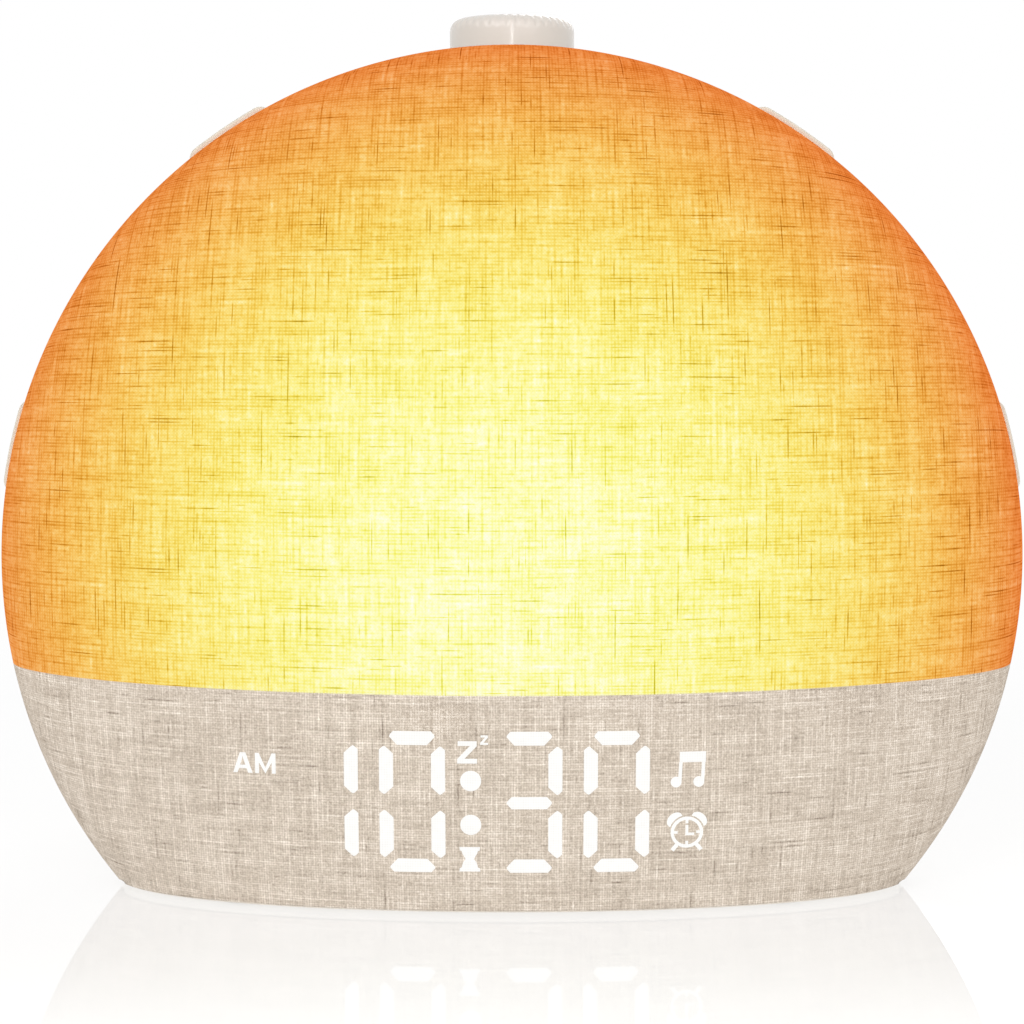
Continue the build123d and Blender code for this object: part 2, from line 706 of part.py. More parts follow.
post_x = board_half_x - 4.0
post_spots = [on_board(x, share) for share in (0.1, 0.78) for x in (-post_x, post_x)]
post_bore = 4.6
front_foot, rear_foot = (46.0, -4.0), (40.0, case_depth - 10.8)
foot_spots = [(side * x, depth) for x, depth in (front_foot, rear_foot) for side in (-1, 1)]
foot_chamfer = 0.3
lip_halves = [dome_half(body_inset), case_half(body_inset)]
step_halves = [dome_half(shell_inner + air_gap), case_half(inner_inset + air_gap)]
with BuildPart() as base_lip:
    for half in lip_halves:
        revolve(half, axis=dome_axis)
    add(slab(lip_bottom, lip_top, -far, far), mode=Mode.INTERSECT)
with BuildPart() as base_step:
    for half in step_halves:
        revolve(half, axis=dome_axis)
    add(slab(lip_top, step_top, -far, far), mode=Mode.INTERSECT)
with BuildPart() as base_plate:
    add(base_lip.part)
    add(base_step.part)
    with BuildSketch(level(step_top)):
        for spot in post_spots:
            with Locations(spot):
                Circle(boss_radius)
    extrude(amount=main_board_bottom - step_top)
    with BuildSketch(level(main_board_bottom)):
        for spot in post_spots:
            with Locations(spot):
                Circle(small_screw + fit_gap)
    extrude(amount=-post_bore, mode=Mode.SUBTRACT)
    with BuildSketch(level(lip_bottom)):
        for spot in foot_spots:
            with Locations(spot):
                Circle(foot_radius + contact_gap)
    extrude(amount=foot_sunk, mode=Mode.SUBTRACT)
    with BuildSketch(level(lip_bottom)):
        for spot in base_boss_spots:
            with Locations(spot):
                Circle(head_radius + head_gap)
    extrude(amount=head_height + contact_gap, mode=Mode.SUBTRACT)
    with BuildSketch(level(lip_bottom)):
        for spot in base_boss_spots:
            with Locations(spot):
                Circle(screw_radius + fit_gap)
    extrude(amount=step_top - lip_bottom, mode=Mode.SUBTRACT)
save(base_plate, "base_plate")

with BuildPart() as rubber_feet:
    with BuildSketch(level(0)):
        for spot in foot_spots:
            with Locations(spot):
                Circle(foot_radius)
    extrude(amount=foot_proud + foot_sunk)
    chamfer(rubber_feet.edges().group_by(Axis.Z)[0], foot_chamfer)
save(rubber_feet, "rubber_feet")

# ---------------------------------------------------------------- encoder under the knob
encoder_half = 6.0
encoder_top = well_under
encoder_tall = 6.5
encoder_wall = 0.6
encoder_lid = 1.2
encoder_bottom = encoder_top - encoder_tall
bushing_top = well_floor + 3.4
shaft_radius = 3.0
shaft_flat = 1.5         # the D flat's distance from the axis
flat_start = 0.4
shaft_top = knob_top - 1.8
cavity_radius = 4.2
cavity_low = encoder_bottom + encoder_wall
plunger_low = cavity_low + press_travel + contact_gap
plunger_thick = 1.2
shaft_low = plunger_low + plunger_thick
nut_thick, nut_half = 2.0, 5.0


def knob_plane(height):
    """Horizontal plane on the knob's axis."""
    return Plane(origin=(0, knob_y, height), z_dir=(0, 0, 1))


with BuildPart() as encoder_body:
    with BuildSketch(knob_plane(encoder_bottom)):
        Rectangle(2 * encoder_half, 2 * encoder_half)
    extrude(amount=encoder_tall)
    with BuildSketch(knob_plane(encoder_top)):
        Circle(bushing_radius)
    extrude(amount=bushing_top - encoder_top)
    with BuildSketch(knob_plane(cavity_low)):
        Circle(cavity_radius)
    extrude(amount=encoder_tall - encoder_wall - encoder_lid, mode=Mode.SUBTRACT)
    with BuildSketch(knob_plane(cavity_low)):
        Circle(shaft_radius + fit_gap)
    extrude(amount=bushing_top - cavity_low, mode=Mode.SUBTRACT)
save(encoder_body, "encoder_body")

with BuildPart() as encoder_nut:
    with BuildSketch(knob_plane(well_floor)):
        RegularPolygon(nut_half, 6, major_radius=False)
        Circle(bushing_radius + fit_gap, mode=Mode.SUBTRACT)
    extrude(amount=nut_thick)
save(encoder_nut, "encoder_nut")

with BuildPart() as encoder_plunger:
    with BuildSketch(knob_plane(plunger_low)):
        Circle(cavity_radius - air_gap)
    extrude(amount=plunger_thick)
save(encoder_plunger, "encoder_plunger")

with BuildPart() as knob_shaft:
    with BuildSketch(knob_plane(shaft_low)):
        Circle(shaft_radius)
    extrude(amount=shaft_top - shaft_low)
    with BuildSketch(knob_plane(bushing_top + flat_start)):
        with Locations((0, shaft_flat + shaft_radius)):
            Rectangle(2 * shaft_radius, 2 * shaft_radius)
    extrude(amount=shaft_top, mode=Mode.SUBTRACT)
save(knob_shaft, "knob_shaft")

hub_radius = 5.2
hub_low = bushing_top + press_travel + flat_start
skirt_thick = 1.8
cap_thick = 2.2
knob_section = Plane(origin=(0, knob_y, 0), x_dir=(1, 0, 0), z_dir=(0, -1, 0))
knob_axis = Axis((0, knob_y, 0), (0, 0, 1))


def knob_half(inset):
    """Half section of the solid knob with its rounded shoulder, drawn in by an inset."""
    radius, top = knob_radius - inset, knob_top - inset
    shoulder = (knob_radius - shoulder_width, knob_top - shoulder_height)
    with BuildSketch(knob_section) as half:
        with BuildLine():
            EllipticalCenterArc(shoulder, shoulder_width - inset, shoulder_height - inset,
                                start_angle=0, arc_size=90)
            Polyline((shoulder[0], top), (0, top), (0, knob_bottom), (radius, knob_bottom),
                     (radius, shoulder[1]))
        make_face()
    return half.sketch


knob_profile = knob_half(0.0)
flute_floor = knob_half(flute_depth)
with BuildSketch(knob_section) as flute_window:
    with Locations((knob_radius - shoulder_width / 3, knob_top - shoulder_height / 2)):
        Rectangle(shoulder_width, shoulder_height + flute_depth)
flute_face = flute_window.sketch - flute_floor
with BuildPart() as flute:
    extrude(flute_face, amount=flute_width / 2, both=True)
flutes = [flute.part.rotate(knob_axis, index * 360 / flute_count) for index in range(flute_count)]
with BuildPart() as volume_knob:
    revolve(knob_profile, axis=knob_axis)
    with BuildSketch(knob_plane(knob_bottom)):
        Circle(knob_radius - skirt_thick)
    extrude(amount=knob_height - cap_thick, mode=Mode.SUBTRACT)
    with BuildSketch(knob_plane(hub_low)):
        Circle(hub_radius)
    extrude(amount=knob_top - cap_thick - hub_low)
    with BuildSketch(knob_plane(hub_low)):
        Circle(shaft_radius + fit_gap)
        with Locations((0, shaft_flat + fit_gap + shaft_radius)):
            Rectangle(3 * shaft_radius, 2 * shaft_radius, mode=Mode.SUBTRACT)
    extrude(amount=shaft_top + fit_gap - hub_low, mode=Mode.SUBTRACT)
    add(flutes, mode=Mode.SUBTRACT)
save(volume_knob, "volume_knob")

encoder_board_thick = 1.6
encoder_board_half_x, encoder_board_half_y = 11.0, 8.5
encoder_board_low = encoder_bottom - encoder_board_thick
with BuildPart() as encoder_board:
    with BuildSketch(knob_plane(encoder_board_low)):
        Rectangle(2 * encoder_board_half_x, 2 * encoder_board_half_y)
    extrude(amount=encoder_board_thick)
save(encoder_board, "encoder_board")

# ---------------------------------------------------------------- keys, plungers, switches and flex strips
wall_inner = case_radius - inner_inset
flange_outer = wall_inner - air_gap
flange_inner = flange_outer - flange_thick
flange_half_angle = key_half_angle + degrees(flange_overlap / case_radius)
flex_inner, flex_thick = hoop_outer + contact_gap, 0.3
switch_low = flex_inner + flex_thick + contact_gap
switch_tall = 3.4
switch_half = 3.0
switch_depth = key_front + key_width / 2
plunger_radius = 1.7
plunger_in = 1.0
plunger_foot = switch_low + switch_tall - plunger_in
plunger_top = sqrt(flange_inner ** 2 - plunger_radius ** 2)


def radial_plane(angle, radius):
    """Plane square to a radius, centred over the keys: its normal points outwards."""
    outward = Vector(sin(radians(angle)), 0, cos(radians(angle)))
    x, z = on_circle(radius, angle)
    return Plane(origin=(x, rim_y + switch_depth, z), x_dir=(0, 1, 0), z_dir=outward)


for name, angle in key_angles.items():
    with BuildPart() as key:
        with BuildSketch(section_at(angle - key_half_angle)):
            with Locations(((flange_outer + case_radius + key_proud) / 2, switch_depth)):
                Rectangle(case_radius + key_proud - flange_outer, key_width)
        revolve(axis=dome_axis, revolution_arc=2 * key_half_angle)
        outer_edges = [e for e in key.edges().filter_by(Axis.Y)
                       if hypot(e.center().X, e.center().Z - axis_height) > case_radius]
        fillet(outer_edges, key_end_round)
        crest = key.faces().sort_by(lambda f: hypot(f.center().X, f.center().Z - axis_height))[-1]
        side_edges = [e for e in crest.edges() if abs(e.center().Y - rim_y - switch_depth) > key_width / 4]
        fillet(side_edges, key_side_round)
        with BuildSketch(section_at(angle - flange_half_angle)):
            with Locations(((flange_inner + flange_outer) / 2, switch_depth + flange_overlap / 2)):
                Rectangle(flange_thick, key_width + flange_overlap)
        revolve(axis=dome_axis, revolution_arc=2 * flange_half_angle)
    save(key, name)
    with BuildPart() as plunger:
        with BuildSketch(radial_plane(angle, plunger_foot)):
            Circle(plunger_radius)
        extrude(amount=plunger_top - plunger_foot)
    save(plunger, name.replace("key", "plunger"))

with BuildPart() as key_switches:
    for angle in key_angles.values():
        with BuildSketch(radial_plane(angle, switch_low)):
            Rectangle(2 * switch_half, 2 * switch_half)
        extrude(amount=switch_tall)
        with BuildSketch(radial_plane(angle, switch_low + switch_tall)):
            Circle(plunger_radius + contact_gap)
        extrude(amount=-(plunger_in + key_travel + 2 * contact_gap), mode=Mode.SUBTRACT)
save(key_switches, "key_switches")

flex_start, flex_end = 26.0, 87.0
flex_half_width = 3.1
for name, start in (("key_flex_left", -flex_end), ("key_flex_right", flex_start)):
    with BuildPart() as flex:
        with BuildSketch(section_at(start)):
            with Locations((flex_inner + flex_thick / 2, switch_depth)):
                Rectangle(flex_thick, 2 * flex_half_width)
        revolve(axis=dome_axis, revolution_arc=flex_end - flex_start)
    save(flex, name)

# ---------------------------------------------------------------- speaker, firing backwards
speaker_section = Plane(origin=(0, rim_y, speaker_height), x_dir=(1, 0, 0), z_dir=(0, 0, 1))
speaker_axis = Axis((0, rim_y, speaker_height), (0, 1, 0))
cone_outer = 20.5
coil_radius = 7.0
gasket_width = 3.4
basket_sheet = 1.2
basket_skin = 1.0
flange_front = flange_depth - basket_sheet
basket_floor = flange_front - 7.4
basket_mouth = speaker_radius - 2.2
basket_neck = 15.0
magnet_back = basket_floor - basket_skin
magnet_front = magnet_back - 8.0
magnet_radius = 13.0
magnet_gap_depth = 5.0
gap_outer, gap_inner = coil_radius + 1.2, coil_radius - 0.5
cone_back = flange_front + 0.5
cone_skin = 0.8
coil_wall = 0.5
coil_front = magnet_back - 3.0
dust_cap_base = flange_front - 4.4

with BuildPart() as speaker_gasket:
    with BuildSketch(at_depth(rear_inner)):
        with Locations((0, speaker_height)):
            Circle(speaker_radius)
            Circle(speaker_radius - gasket_width, mode=Mode.SUBTRACT)
        for spot in speaker_ears():
            with Locations(spot):
                Circle(boss_radius + floor_gap, mode=Mode.SUBTRACT)
    extrude(amount=gasket_thick)
save(speaker_gasket, "speaker_gasket")

with BuildPart() as speaker_basket:
    with BuildSketch(speaker_section):
        with BuildLine():
            Polyline((speaker_radius, flange_depth), (speaker_radius, flange_front),
                     (basket_mouth, flange_front), (basket_neck, magnet_back),
                     (coil_radius + 2, magnet_back), (coil_radius + 2, basket_floor),
                     (basket_neck - basket_skin / 2, basket_floor),
                     (basket_mouth - basket_skin, flange_front + 0.4),
                     (basket_mouth - basket_skin, flange_depth), close=True)
        make_face()
    revolve(axis=speaker_axis)
    with BuildSketch(at_depth(flange_depth)):
        for spot in speaker_ears():
            with Locations(spot):
                Circle(speaker_ear_radius)
        with Locations((0, speaker_height)):
            Circle(speaker_radius - basket_skin, mode=Mode.SUBTRACT)
    extrude(amount=flange_depth - flange_front)
    with BuildSketch(at_depth(flange_depth)):
        for spot in speaker_ears():
            with Locations(spot):
                Circle(small_screw + fit_gap)
    extrude(amount=2 * basket_sheet, mode=Mode.SUBTRACT)
save(speaker_basket, "speaker_basket")

with BuildPart() as speaker_magnet:
    with BuildSketch(at_depth(magnet_back)):
        with Locations((0, speaker_height)):
            Circle(magnet_radius)
    extrude(amount=magnet_back - magnet_front)
    chamfer(speaker_magnet.edges().filter_by(GeomType.CIRCLE), 0.5)
    with BuildSketch(at_depth(magnet_back)):
        with Locations((0, speaker_height)):
            Circle(gap_outer)
            Circle(gap_inner, mode=Mode.SUBTRACT)
    extrude(amount=magnet_gap_depth, mode=Mode.SUBTRACT)
save(speaker_magnet, "speaker_magnet")

with BuildPart() as speaker_cone:
    with BuildSketch(speaker_section):
        with BuildLine():
            Polyline((cone_outer, cone_back), (coil_radius + coil_wall, dust_cap_base),
                     (coil_radius, dust_cap_base), (coil_radius, coil_front),
                     (coil_radius + coil_wall, coil_front),
                     (coil_radius + coil_wall, dust_cap_base - cone_skin),
                     (cone_outer, cone_back - cone_skin), close=True)
        make_face()
    revolve(axis=speaker_axis)
save(speaker_cone, "speaker_cone")

roll_outer, roll_inner = 1.9, 1.4
roll_radius = cone_outer + contact_gap + roll_outer
roll_depth = cone_back - contact_gap
with BuildPart() as speaker_surround:
    with BuildSketch(speaker_section):
        with BuildLine():
            CenterArc((roll_radius, roll_depth), roll_outer, 0, 180)
            Line((roll_radius - roll_outer, roll_depth), (roll_radius - roll_inner, roll_depth))
            CenterArc((roll_radius, roll_depth), roll_inner, 0, 180)
            Line((roll_radius + roll_inner, roll_depth), (roll_radius + roll_outer, roll_depth))
        make_face()
    revolve(axis=speaker_axis)
save(speaker_surround, "speaker_surround")

cap_radius, cap_skin = 12.0, 0.5
cap_edge = dust_cap_base + contact_gap
cap_centre = cap_edge - sqrt(cap_radius ** 2 - coil_radius ** 2)
with BuildPart() as speaker_dust_cap:
    with BuildSketch(speaker_section):
        with Locations((0, cap_centre)):
            Circle(cap_radius)
            Circle(cap_radius - cap_skin, mode=Mode.SUBTRACT)
        with Locations((cap_radius, cap_edge + cap_radius)):
            Rectangle(2 * cap_radius, 2 * cap_radius, mode=Mode.INTERSECT)
    revolve(axis=speaker_axis)
save(speaker_dust_cap, "speaker_dust_cap")

# ---------------------------------------------------------------- main board and what stands on it
with BuildPart() as main_board:
    with BuildSketch(level(main_board_bottom)):
        with Locations((0, (main_front + main_back) / 2)):
            Rectangle(2 * board_half_x, main_back - main_front)
        for spot in post_spots:
            with Locations(spot):
                Circle(small_screw + fit_gap, mode=Mode.SUBTRACT)
    extrude(amount=main_board_thick)
save(main_board, "main_board")

usb_wall, usb_back = 0.3, 1.0
usb_plane = at_depth(usb_mouth)
with BuildPart() as usb_shell:
    with BuildSketch(usb_plane):
        with Locations((0, usb_middle)):
            RectangleRounded(usb_width, usb_height, usb_height / 2 - round_less)
    extrude(amount=usb_length)
    with BuildSketch(usb_plane):
        with Locations((0, usb_middle)):
            RectangleRounded(usb_width - 2 * usb_wall, usb_height - 2 * usb_wall,
                             usb_height / 2 - usb_wall - round_less)
    extrude(amount=usb_length - usb_back, mode=Mode.SUBTRACT)
save(usb_shell, "usb_shell")

tongue_width, tongue_thick, tongue_length = 6.6, 0.7, 5.2
with BuildPart() as usb_tongue:
    with BuildSketch(at_depth(usb_mouth - usb_length + usb_back)):
        with Locations((0, usb_middle)):
            Rectangle(tongue_width, tongue_thick)
    extrude(amount=-tongue_length)
save(usb_tongue, "usb_tongue")

cell_x, cell_depth = on_board(22.0, 0.515)
cell_radius, cell_thick = 10.0, 3.2
holder_wall, holder_floor = 1.4, 1.0
holder_radius = cell_radius + floor_gap
with BuildPart() as coin_holder:
    with BuildSketch(level(main_board_top)):
        with Locations((cell_x, cell_depth)):
            Circle(holder_radius + holder_wall)
    extrude(amount=cell_thick + holder_wall)
    with BuildSketch(level(main_board_top + holder_floor)):
        with Locations((cell_x, cell_depth)):
            Circle(holder_radius)
    extrude(amount=cell_thick + holder_wall, mode=Mode.SUBTRACT)
save(coin_holder, "coin_holder")

with BuildPart() as coin_cell:
    with BuildSketch(level(main_board_top + holder_floor)):
        with Locations((cell_x, cell_depth)):
            Circle(cell_radius)
    extrude(amount=cell_thick)
    chamfer(coin_cell.edges().filter_by(GeomType.CIRCLE), 0.3)
save(coin_cell, "coin_cell")

chips = {  # each chip's place on the board, its width, length and height
    "processor": (on_board(-2.0, 0.43), 10.0, 10.0, 1.4),
    "amplifier": (on_board(-22.0, 0.65), 6.0, 5.0, 1.2),
    "driver": (on_board(-26.0, 0.362), 5.0, 6.0, 1.2),
    "clock": (on_board(4.0, 0.15), 5.0, 4.0, 1.1),
}
with BuildPart() as board_chips:
    for spot, wide, long, tall in chips.values():
        with BuildSketch(level(main_board_top)):
            with Locations(spot):
                Rectangle(wide, long)
        extrude(amount=tall)
save(board_chips, "board_chips")

can_radius, can_tall = 3.2, 8.0
can_spots = [on_board(-14.0, 0.82), on_board(14.0, 0.87)]
with BuildPart() as capacitors:
    with BuildSketch(level(main_board_top)):
        for spot in can_spots:
            with Locations(spot):
                Circle(can_radius)
    extrude(amount=can_tall)
    chamfer(capacitors.edges().group_by(Axis.Z)[-1], 0.4)
save(capacitors, "capacitors")

keys_socket_x = 37.0
socket_spots = {
    "speaker": on_board(-28.0, 0.78),
    "sun": on_board(lead_hole[0], 0.175),
    "display": on_board(22.0, 0.088),
    "encoder": on_board(8.0, 0.307),
    "keys_left": on_board(-keys_socket_x, 0.43),
    "keys_right": on_board(keys_socket_x, 0.43),
}
socket_wide, socket_long, socket_tall = 5.0, 5.6, 4.6
socket_wall = 0.8
socket_top = main_board_top + socket_tall
socket_floor = socket_top - 3.0     # where a lead's end stops
with BuildPart() as board_sockets:
    for spot in socket_spots.values():
        with BuildSketch(level(main_board_top)):
            with Locations(spot):
                Rectangle(socket_wide, socket_long)
        extrude(amount=socket_tall)
        with BuildSketch(level(socket_top)):
            with Locations(spot):
                Rectangle(socket_wide - 2 * socket_wall, socket_long - 2 * socket_wall)
        extrude(amount=-(socket_top - socket_floor), mode=Mode.SUBTRACT)
save(board_sockets, "board_sockets")


# ---------------------------------------------------------------- leads held inside the case
def lead_end(name):
    """Point at the floor of a socket."""
    x, depth = socket_spots[name]
    return (x, rim_y + depth, socket_floor)


def lead_points(points):
    """World points from (X, depth, height)."""
    return [(x, rim_y + depth, height) for x, depth, height in points]


def lead_solid(points, bend, name):
    """A round lead along straight runs joined by tangent arcs."""
    with BuildPart() as lead:
        with BuildLine() as path:
            FilletPolyline(*points, radius=bend)
        run = path.wire()
        with BuildSketch(Plane(origin=run @ 0, z_dir=run % 0)):
            Circle(lead_radius)
        sweep()
    share = lead.part.volume / (pi * lead_radius ** 2 * run.length)
    print(name, "volume over section x length", round(share, 4))
    return lead


lead_bend = 5.0
key_lead_bend = 2.5
speaker_tag = (-16.0, magnet_back - lead_radius, speaker_height - 14.0)
speaker_turn = (-16.5, magnet_back - 2.4, 44.0)
speaker_socket_x, speaker_socket_depth = socket_spots["speaker"]
speaker_drop = (speaker_socket_x, speaker_socket_depth, 32.0)
speaker_lead = lead_solid(lead_points([speaker_tag, speaker_turn, speaker_drop]) + [lead_end("speaker")],
                          lead_bend, "speaker_lead")
save(speaker_lead, "speaker_lead")

hole_x, hole_height = lead_hole
led_start = (hole_x, tray_floor_front, hole_height)
led_turn = (hole_x, socket_spots["sun"][1], hole_height)
led_lead = lead_solid(lead_points([led_start, led_turn]) + [lead_end("sun")], lead_bend, "led_lead")
save(led_lead, "led_lead")

display_lead_height = 22.0
display_lead_x, display_lead_depth = socket_spots["display"]
display_start = (display_lead_x, board_front + board_thick, display_lead_height)
display_turn = (display_lead_x, display_lead_depth, display_lead_height)
display_lead = lead_solid(lead_points([display_start, display_turn]) + [lead_end("display")],
                          lead_bend, "display_lead")
save(display_lead, "display_lead")

with BuildPart() as encoder_lead:
    with BuildSketch(Plane(origin=lead_end("encoder"), z_dir=(0, 0, 1))):
        Circle(lead_radius)
    extrude(amount=encoder_board_low - socket_floor)
save(encoder_lead, "encoder_lead")

side_reach = hoop_inner - 5.2
keys_depth = socket_spots["keys_right"][1]
with BuildPart() as key_leads:
    for side, name in ((-1, "keys_left"), (1, "keys_right")):
        start_x, start_height = on_circle(flex_inner - lead_radius - contact_gap, side * (flex_end - 1.0))
        turns = [(start_x, hoop_back + 1.5, start_height), (side * side_reach, keys_depth - 6.0, 44.0),
                 (side * (keys_socket_x + 7.0), keys_depth, 26.0), (side * keys_socket_x, keys_depth, 20.0)]
        with BuildLine() as path:
            FilletPolyline(*lead_points(turns), lead_end(name), radius=key_lead_bend)
        with BuildSketch(Plane(origin=path.wire() @ 0, z_dir=path.wire() % 0)):
            Circle(lead_radius)
        sweep()
save(key_leads, "key_leads")


# ---------------------------------------------------------------- screws
def screw_face(spots, radius):
    """Circles at the given spots of the current sketch plane."""
    for spot in spots:
        with Locations(spot):
            Circle(radius)


def screw_solids(plane, spots, length, shank, head):
    """Pan-head screws in the current part: heads on the plane's front, shanks behind it, cross slots."""
    with BuildSketch(plane) as heads:
        screw_face(spots, head)
    extrude(heads.sketch, amount=head_height)
    with BuildSketch(plane) as shanks:
        screw_face(spots, shank)
    extrude(shanks.sketch, amount=-length)
    with BuildSketch(plane.offset(head_height)) as slots:
        for spot in spots:
            with Locations(spot):
                Rectangle(slot_length * head, slot_width)
                Rectangle(slot_width, slot_length * head)
    extrude(slots.sketch, amount=-slot_depth, mode=Mode.SUBTRACT)


screw_seat = rear_outer - head_height - head_gap
back_view = Plane(origin=(0, rim_y + screw_seat, 0), x_dir=(-1, 0, 0), z_dir=(0, 1, 0))
rear_spots = [(-x, z) for x, z in [on_circle(rear_screw_circle, a) for a in rear_screw_angles]]
below_seat = lip_bottom + head_height + contact_gap
below_plane = Plane(origin=(0, rim_y, below_seat), x_dir=(1, 0, 0), z_dir=(0, 0, -1))
below_spots = [(x, -depth) for x, depth in base_boss_spots]
frame_spots = [on_circle(frame_screw_circle, a) for a in frame_screw_angles]

with BuildPart() as frame_screws:
    screw_solids(at_depth(plate_front), frame_spots, frame_screw_length, screw_radius, head_radius)
save(frame_screws, "frame_screws")

with BuildPart() as rear_screws:
    screw_solids(back_view, rear_spots, rear_screw_length, screw_radius, head_radius)
save(rear_screws, "rear_screws")

with BuildPart() as base_screws:
    screw_solids(below_plane, below_spots, base_screw_length, screw_radius, head_radius)
save(base_screws, "base_screws")

with BuildPart() as speaker_screws:
    screw_solids(at_depth(flange_front), speaker_ears(), speaker_screw_length, small_screw, small_head)
save(speaker_screws, "speaker_screws")

display_back = Plane(origin=(0, rim_y + board_front + board_thick, 0), x_dir=(-1, 0, 0), z_dir=(0, 1, 0))
display_spots = [(side * board_screw_x, height) for side in (-1, 1) for height in board_screw_heights]
board_screw_sets = [(at_depth(sun_board_front), sun_screws), (display_back, display_spots),
                    (level(main_board_top), post_spots)]
with BuildPart() as board_screws:
    for plane, spots in board_screw_sets:
        screw_solids(plane, spots, small_screw_length, small_screw, small_head)
save(board_screws, "board_screws")
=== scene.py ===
"""Looks of the sunrise alarm clock: linen, lit figures, moulded plastics and studio.

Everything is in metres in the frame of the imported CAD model: +X right, -Y front, +Z up, and the
floor at Z = 0. Sizes written in millimetres are multiplied by MM where they are used. New pieces
are surfaces of two parameters, worked out as whole arrays; the other pieces are the CAD's own.
"""

import logging
import math
from collections.abc import Sequence
from dataclasses import dataclass, field
from enum import Enum
from typing import Any, ClassVar

import bpy
import numpy as np
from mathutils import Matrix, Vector

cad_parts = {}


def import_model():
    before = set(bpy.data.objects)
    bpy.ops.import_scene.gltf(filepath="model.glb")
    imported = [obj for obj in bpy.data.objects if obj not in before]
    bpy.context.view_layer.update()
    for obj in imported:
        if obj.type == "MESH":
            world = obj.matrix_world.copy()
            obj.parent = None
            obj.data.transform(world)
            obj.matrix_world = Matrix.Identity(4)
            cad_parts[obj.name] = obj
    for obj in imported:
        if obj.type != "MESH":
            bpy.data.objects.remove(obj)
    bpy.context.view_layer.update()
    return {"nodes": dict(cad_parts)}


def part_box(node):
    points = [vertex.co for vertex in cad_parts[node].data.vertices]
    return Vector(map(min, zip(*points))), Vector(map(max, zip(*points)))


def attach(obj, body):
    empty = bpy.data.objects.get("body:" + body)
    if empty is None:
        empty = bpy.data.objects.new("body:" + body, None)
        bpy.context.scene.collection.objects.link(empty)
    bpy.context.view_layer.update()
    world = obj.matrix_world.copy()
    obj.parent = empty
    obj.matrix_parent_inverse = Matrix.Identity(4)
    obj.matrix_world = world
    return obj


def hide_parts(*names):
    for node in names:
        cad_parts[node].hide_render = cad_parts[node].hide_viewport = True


log = logging.getLogger("sunrise_clock")

MM = 0.001
Rgb = tuple[float, float, float]
Socket = bpy.types.NodeSocket


def paint(red: int, green: int, blue: int) -> Rgb:
    """Linear colour of a paint chip given as three display values from 0 to 255.

    Args:
        red: Display value of red.
        green: Display value of green.
        blue: Display value of blue.

    Returns:
        The colour in linear light, by the standard display curve.
    """
    shown = np.array([red, green, blue]) / 255
    linear = np.where(shown <= 0.04045, shown / 12.92, ((shown + 0.055) / 1.055) ** 2.4)
    return tuple(float(value) for value in linear)


class Slot(Enum):
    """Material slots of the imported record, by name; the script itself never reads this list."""

    LINEN = "linen"
    CREAM_GLOSS = "cream_gloss"
    LENS_PLASTIC = "lens_plastic"


# ------------------------------------------------------------------------------ surfaces
def quads(numbers: np.ndarray) -> np.ndarray:
    """Quads (i, j), (i + 1, j), (i + 1, j + 1), (i, j + 1) of a table of vertex numbers."""
    corners = [numbers[:-1, :-1], numbers[1:, :-1], numbers[1:, 1:], numbers[:-1, 1:]]
    return np.stack(corners, axis=-1).reshape(-1, 4)


def grid_faces(rows: int, columns: int, close_rows: bool = False) -> np.ndarray:
    """Quads of a grid whose vertex (i, j) has the number i * columns + j, open or closed in i."""
    numbers = np.arange(rows * columns).reshape(rows, columns)
    return quads(np.concatenate([numbers, numbers[:1]]) if close_rows else numbers)


def fan_faces(ring: np.ndarray, centre: int) -> np.ndarray:
    """Triangles from a closed ring of vertices to a centre, kept in the ring's own turn."""
    return np.stack([ring, np.full_like(ring, centre), np.roll(ring, -1)], axis=-1)


def link_object(name: str, data: bpy.types.ID) -> bpy.types.Object:
    """Puts a new object into the scene.

    Args:
        name: The object's name.
        data: Its mesh, light or camera.

    Returns:
        The object, at the origin.
    """
    made = bpy.data.objects.new(name, data)
    bpy.context.scene.collection.objects.link(made)
    return made


def make_object(name: str, points: np.ndarray, faces: Sequence[np.ndarray]) -> bpy.types.Object:
    """Makes a smooth mesh object.

    Args:
        name: Name of the object and its mesh.
        points: Vertices in metres, in an array of any shape that ends in 3.
        faces: Blocks of faces, each with one number of corners.

    Returns:
        The object.
    """
    mesh = bpy.data.meshes.new(name)
    every_face = [corners for block in faces for corners in block.tolist()]
    mesh.from_pydata(points.reshape(-1, 3).tolist(), [], every_face)
    mesh.polygons.foreach_set("use_smooth", np.ones(len(mesh.polygons), dtype=bool))
    mesh.update()
    return link_object(name, mesh)


def add_wall(piece: bpy.types.Object, thickness: float, offset: float) -> None:
    """Gives an open surface its thickness.

    Args:
        piece: The object to thicken.
        thickness: Thickness of the wall in metres.
        offset: -1 for a wall behind the surface, 1 for one in front of it.
    """
    wall = piece.modifiers.new("wall", "SOLIDIFY")
    wall.thickness = thickness
    wall.offset = offset
    wall.use_even_offset = True


def arc(centre: tuple[float, float], radius: float, start: float, end: float, count: int) -> np.ndarray:
    """Points on a circle in a profile plane, from one angle to another in degrees."""
    angle = np.radians(np.linspace(start, end, count))
    return np.stack([centre[0] + radius * np.cos(angle), centre[1] + radius * np.sin(angle)], axis=-1)


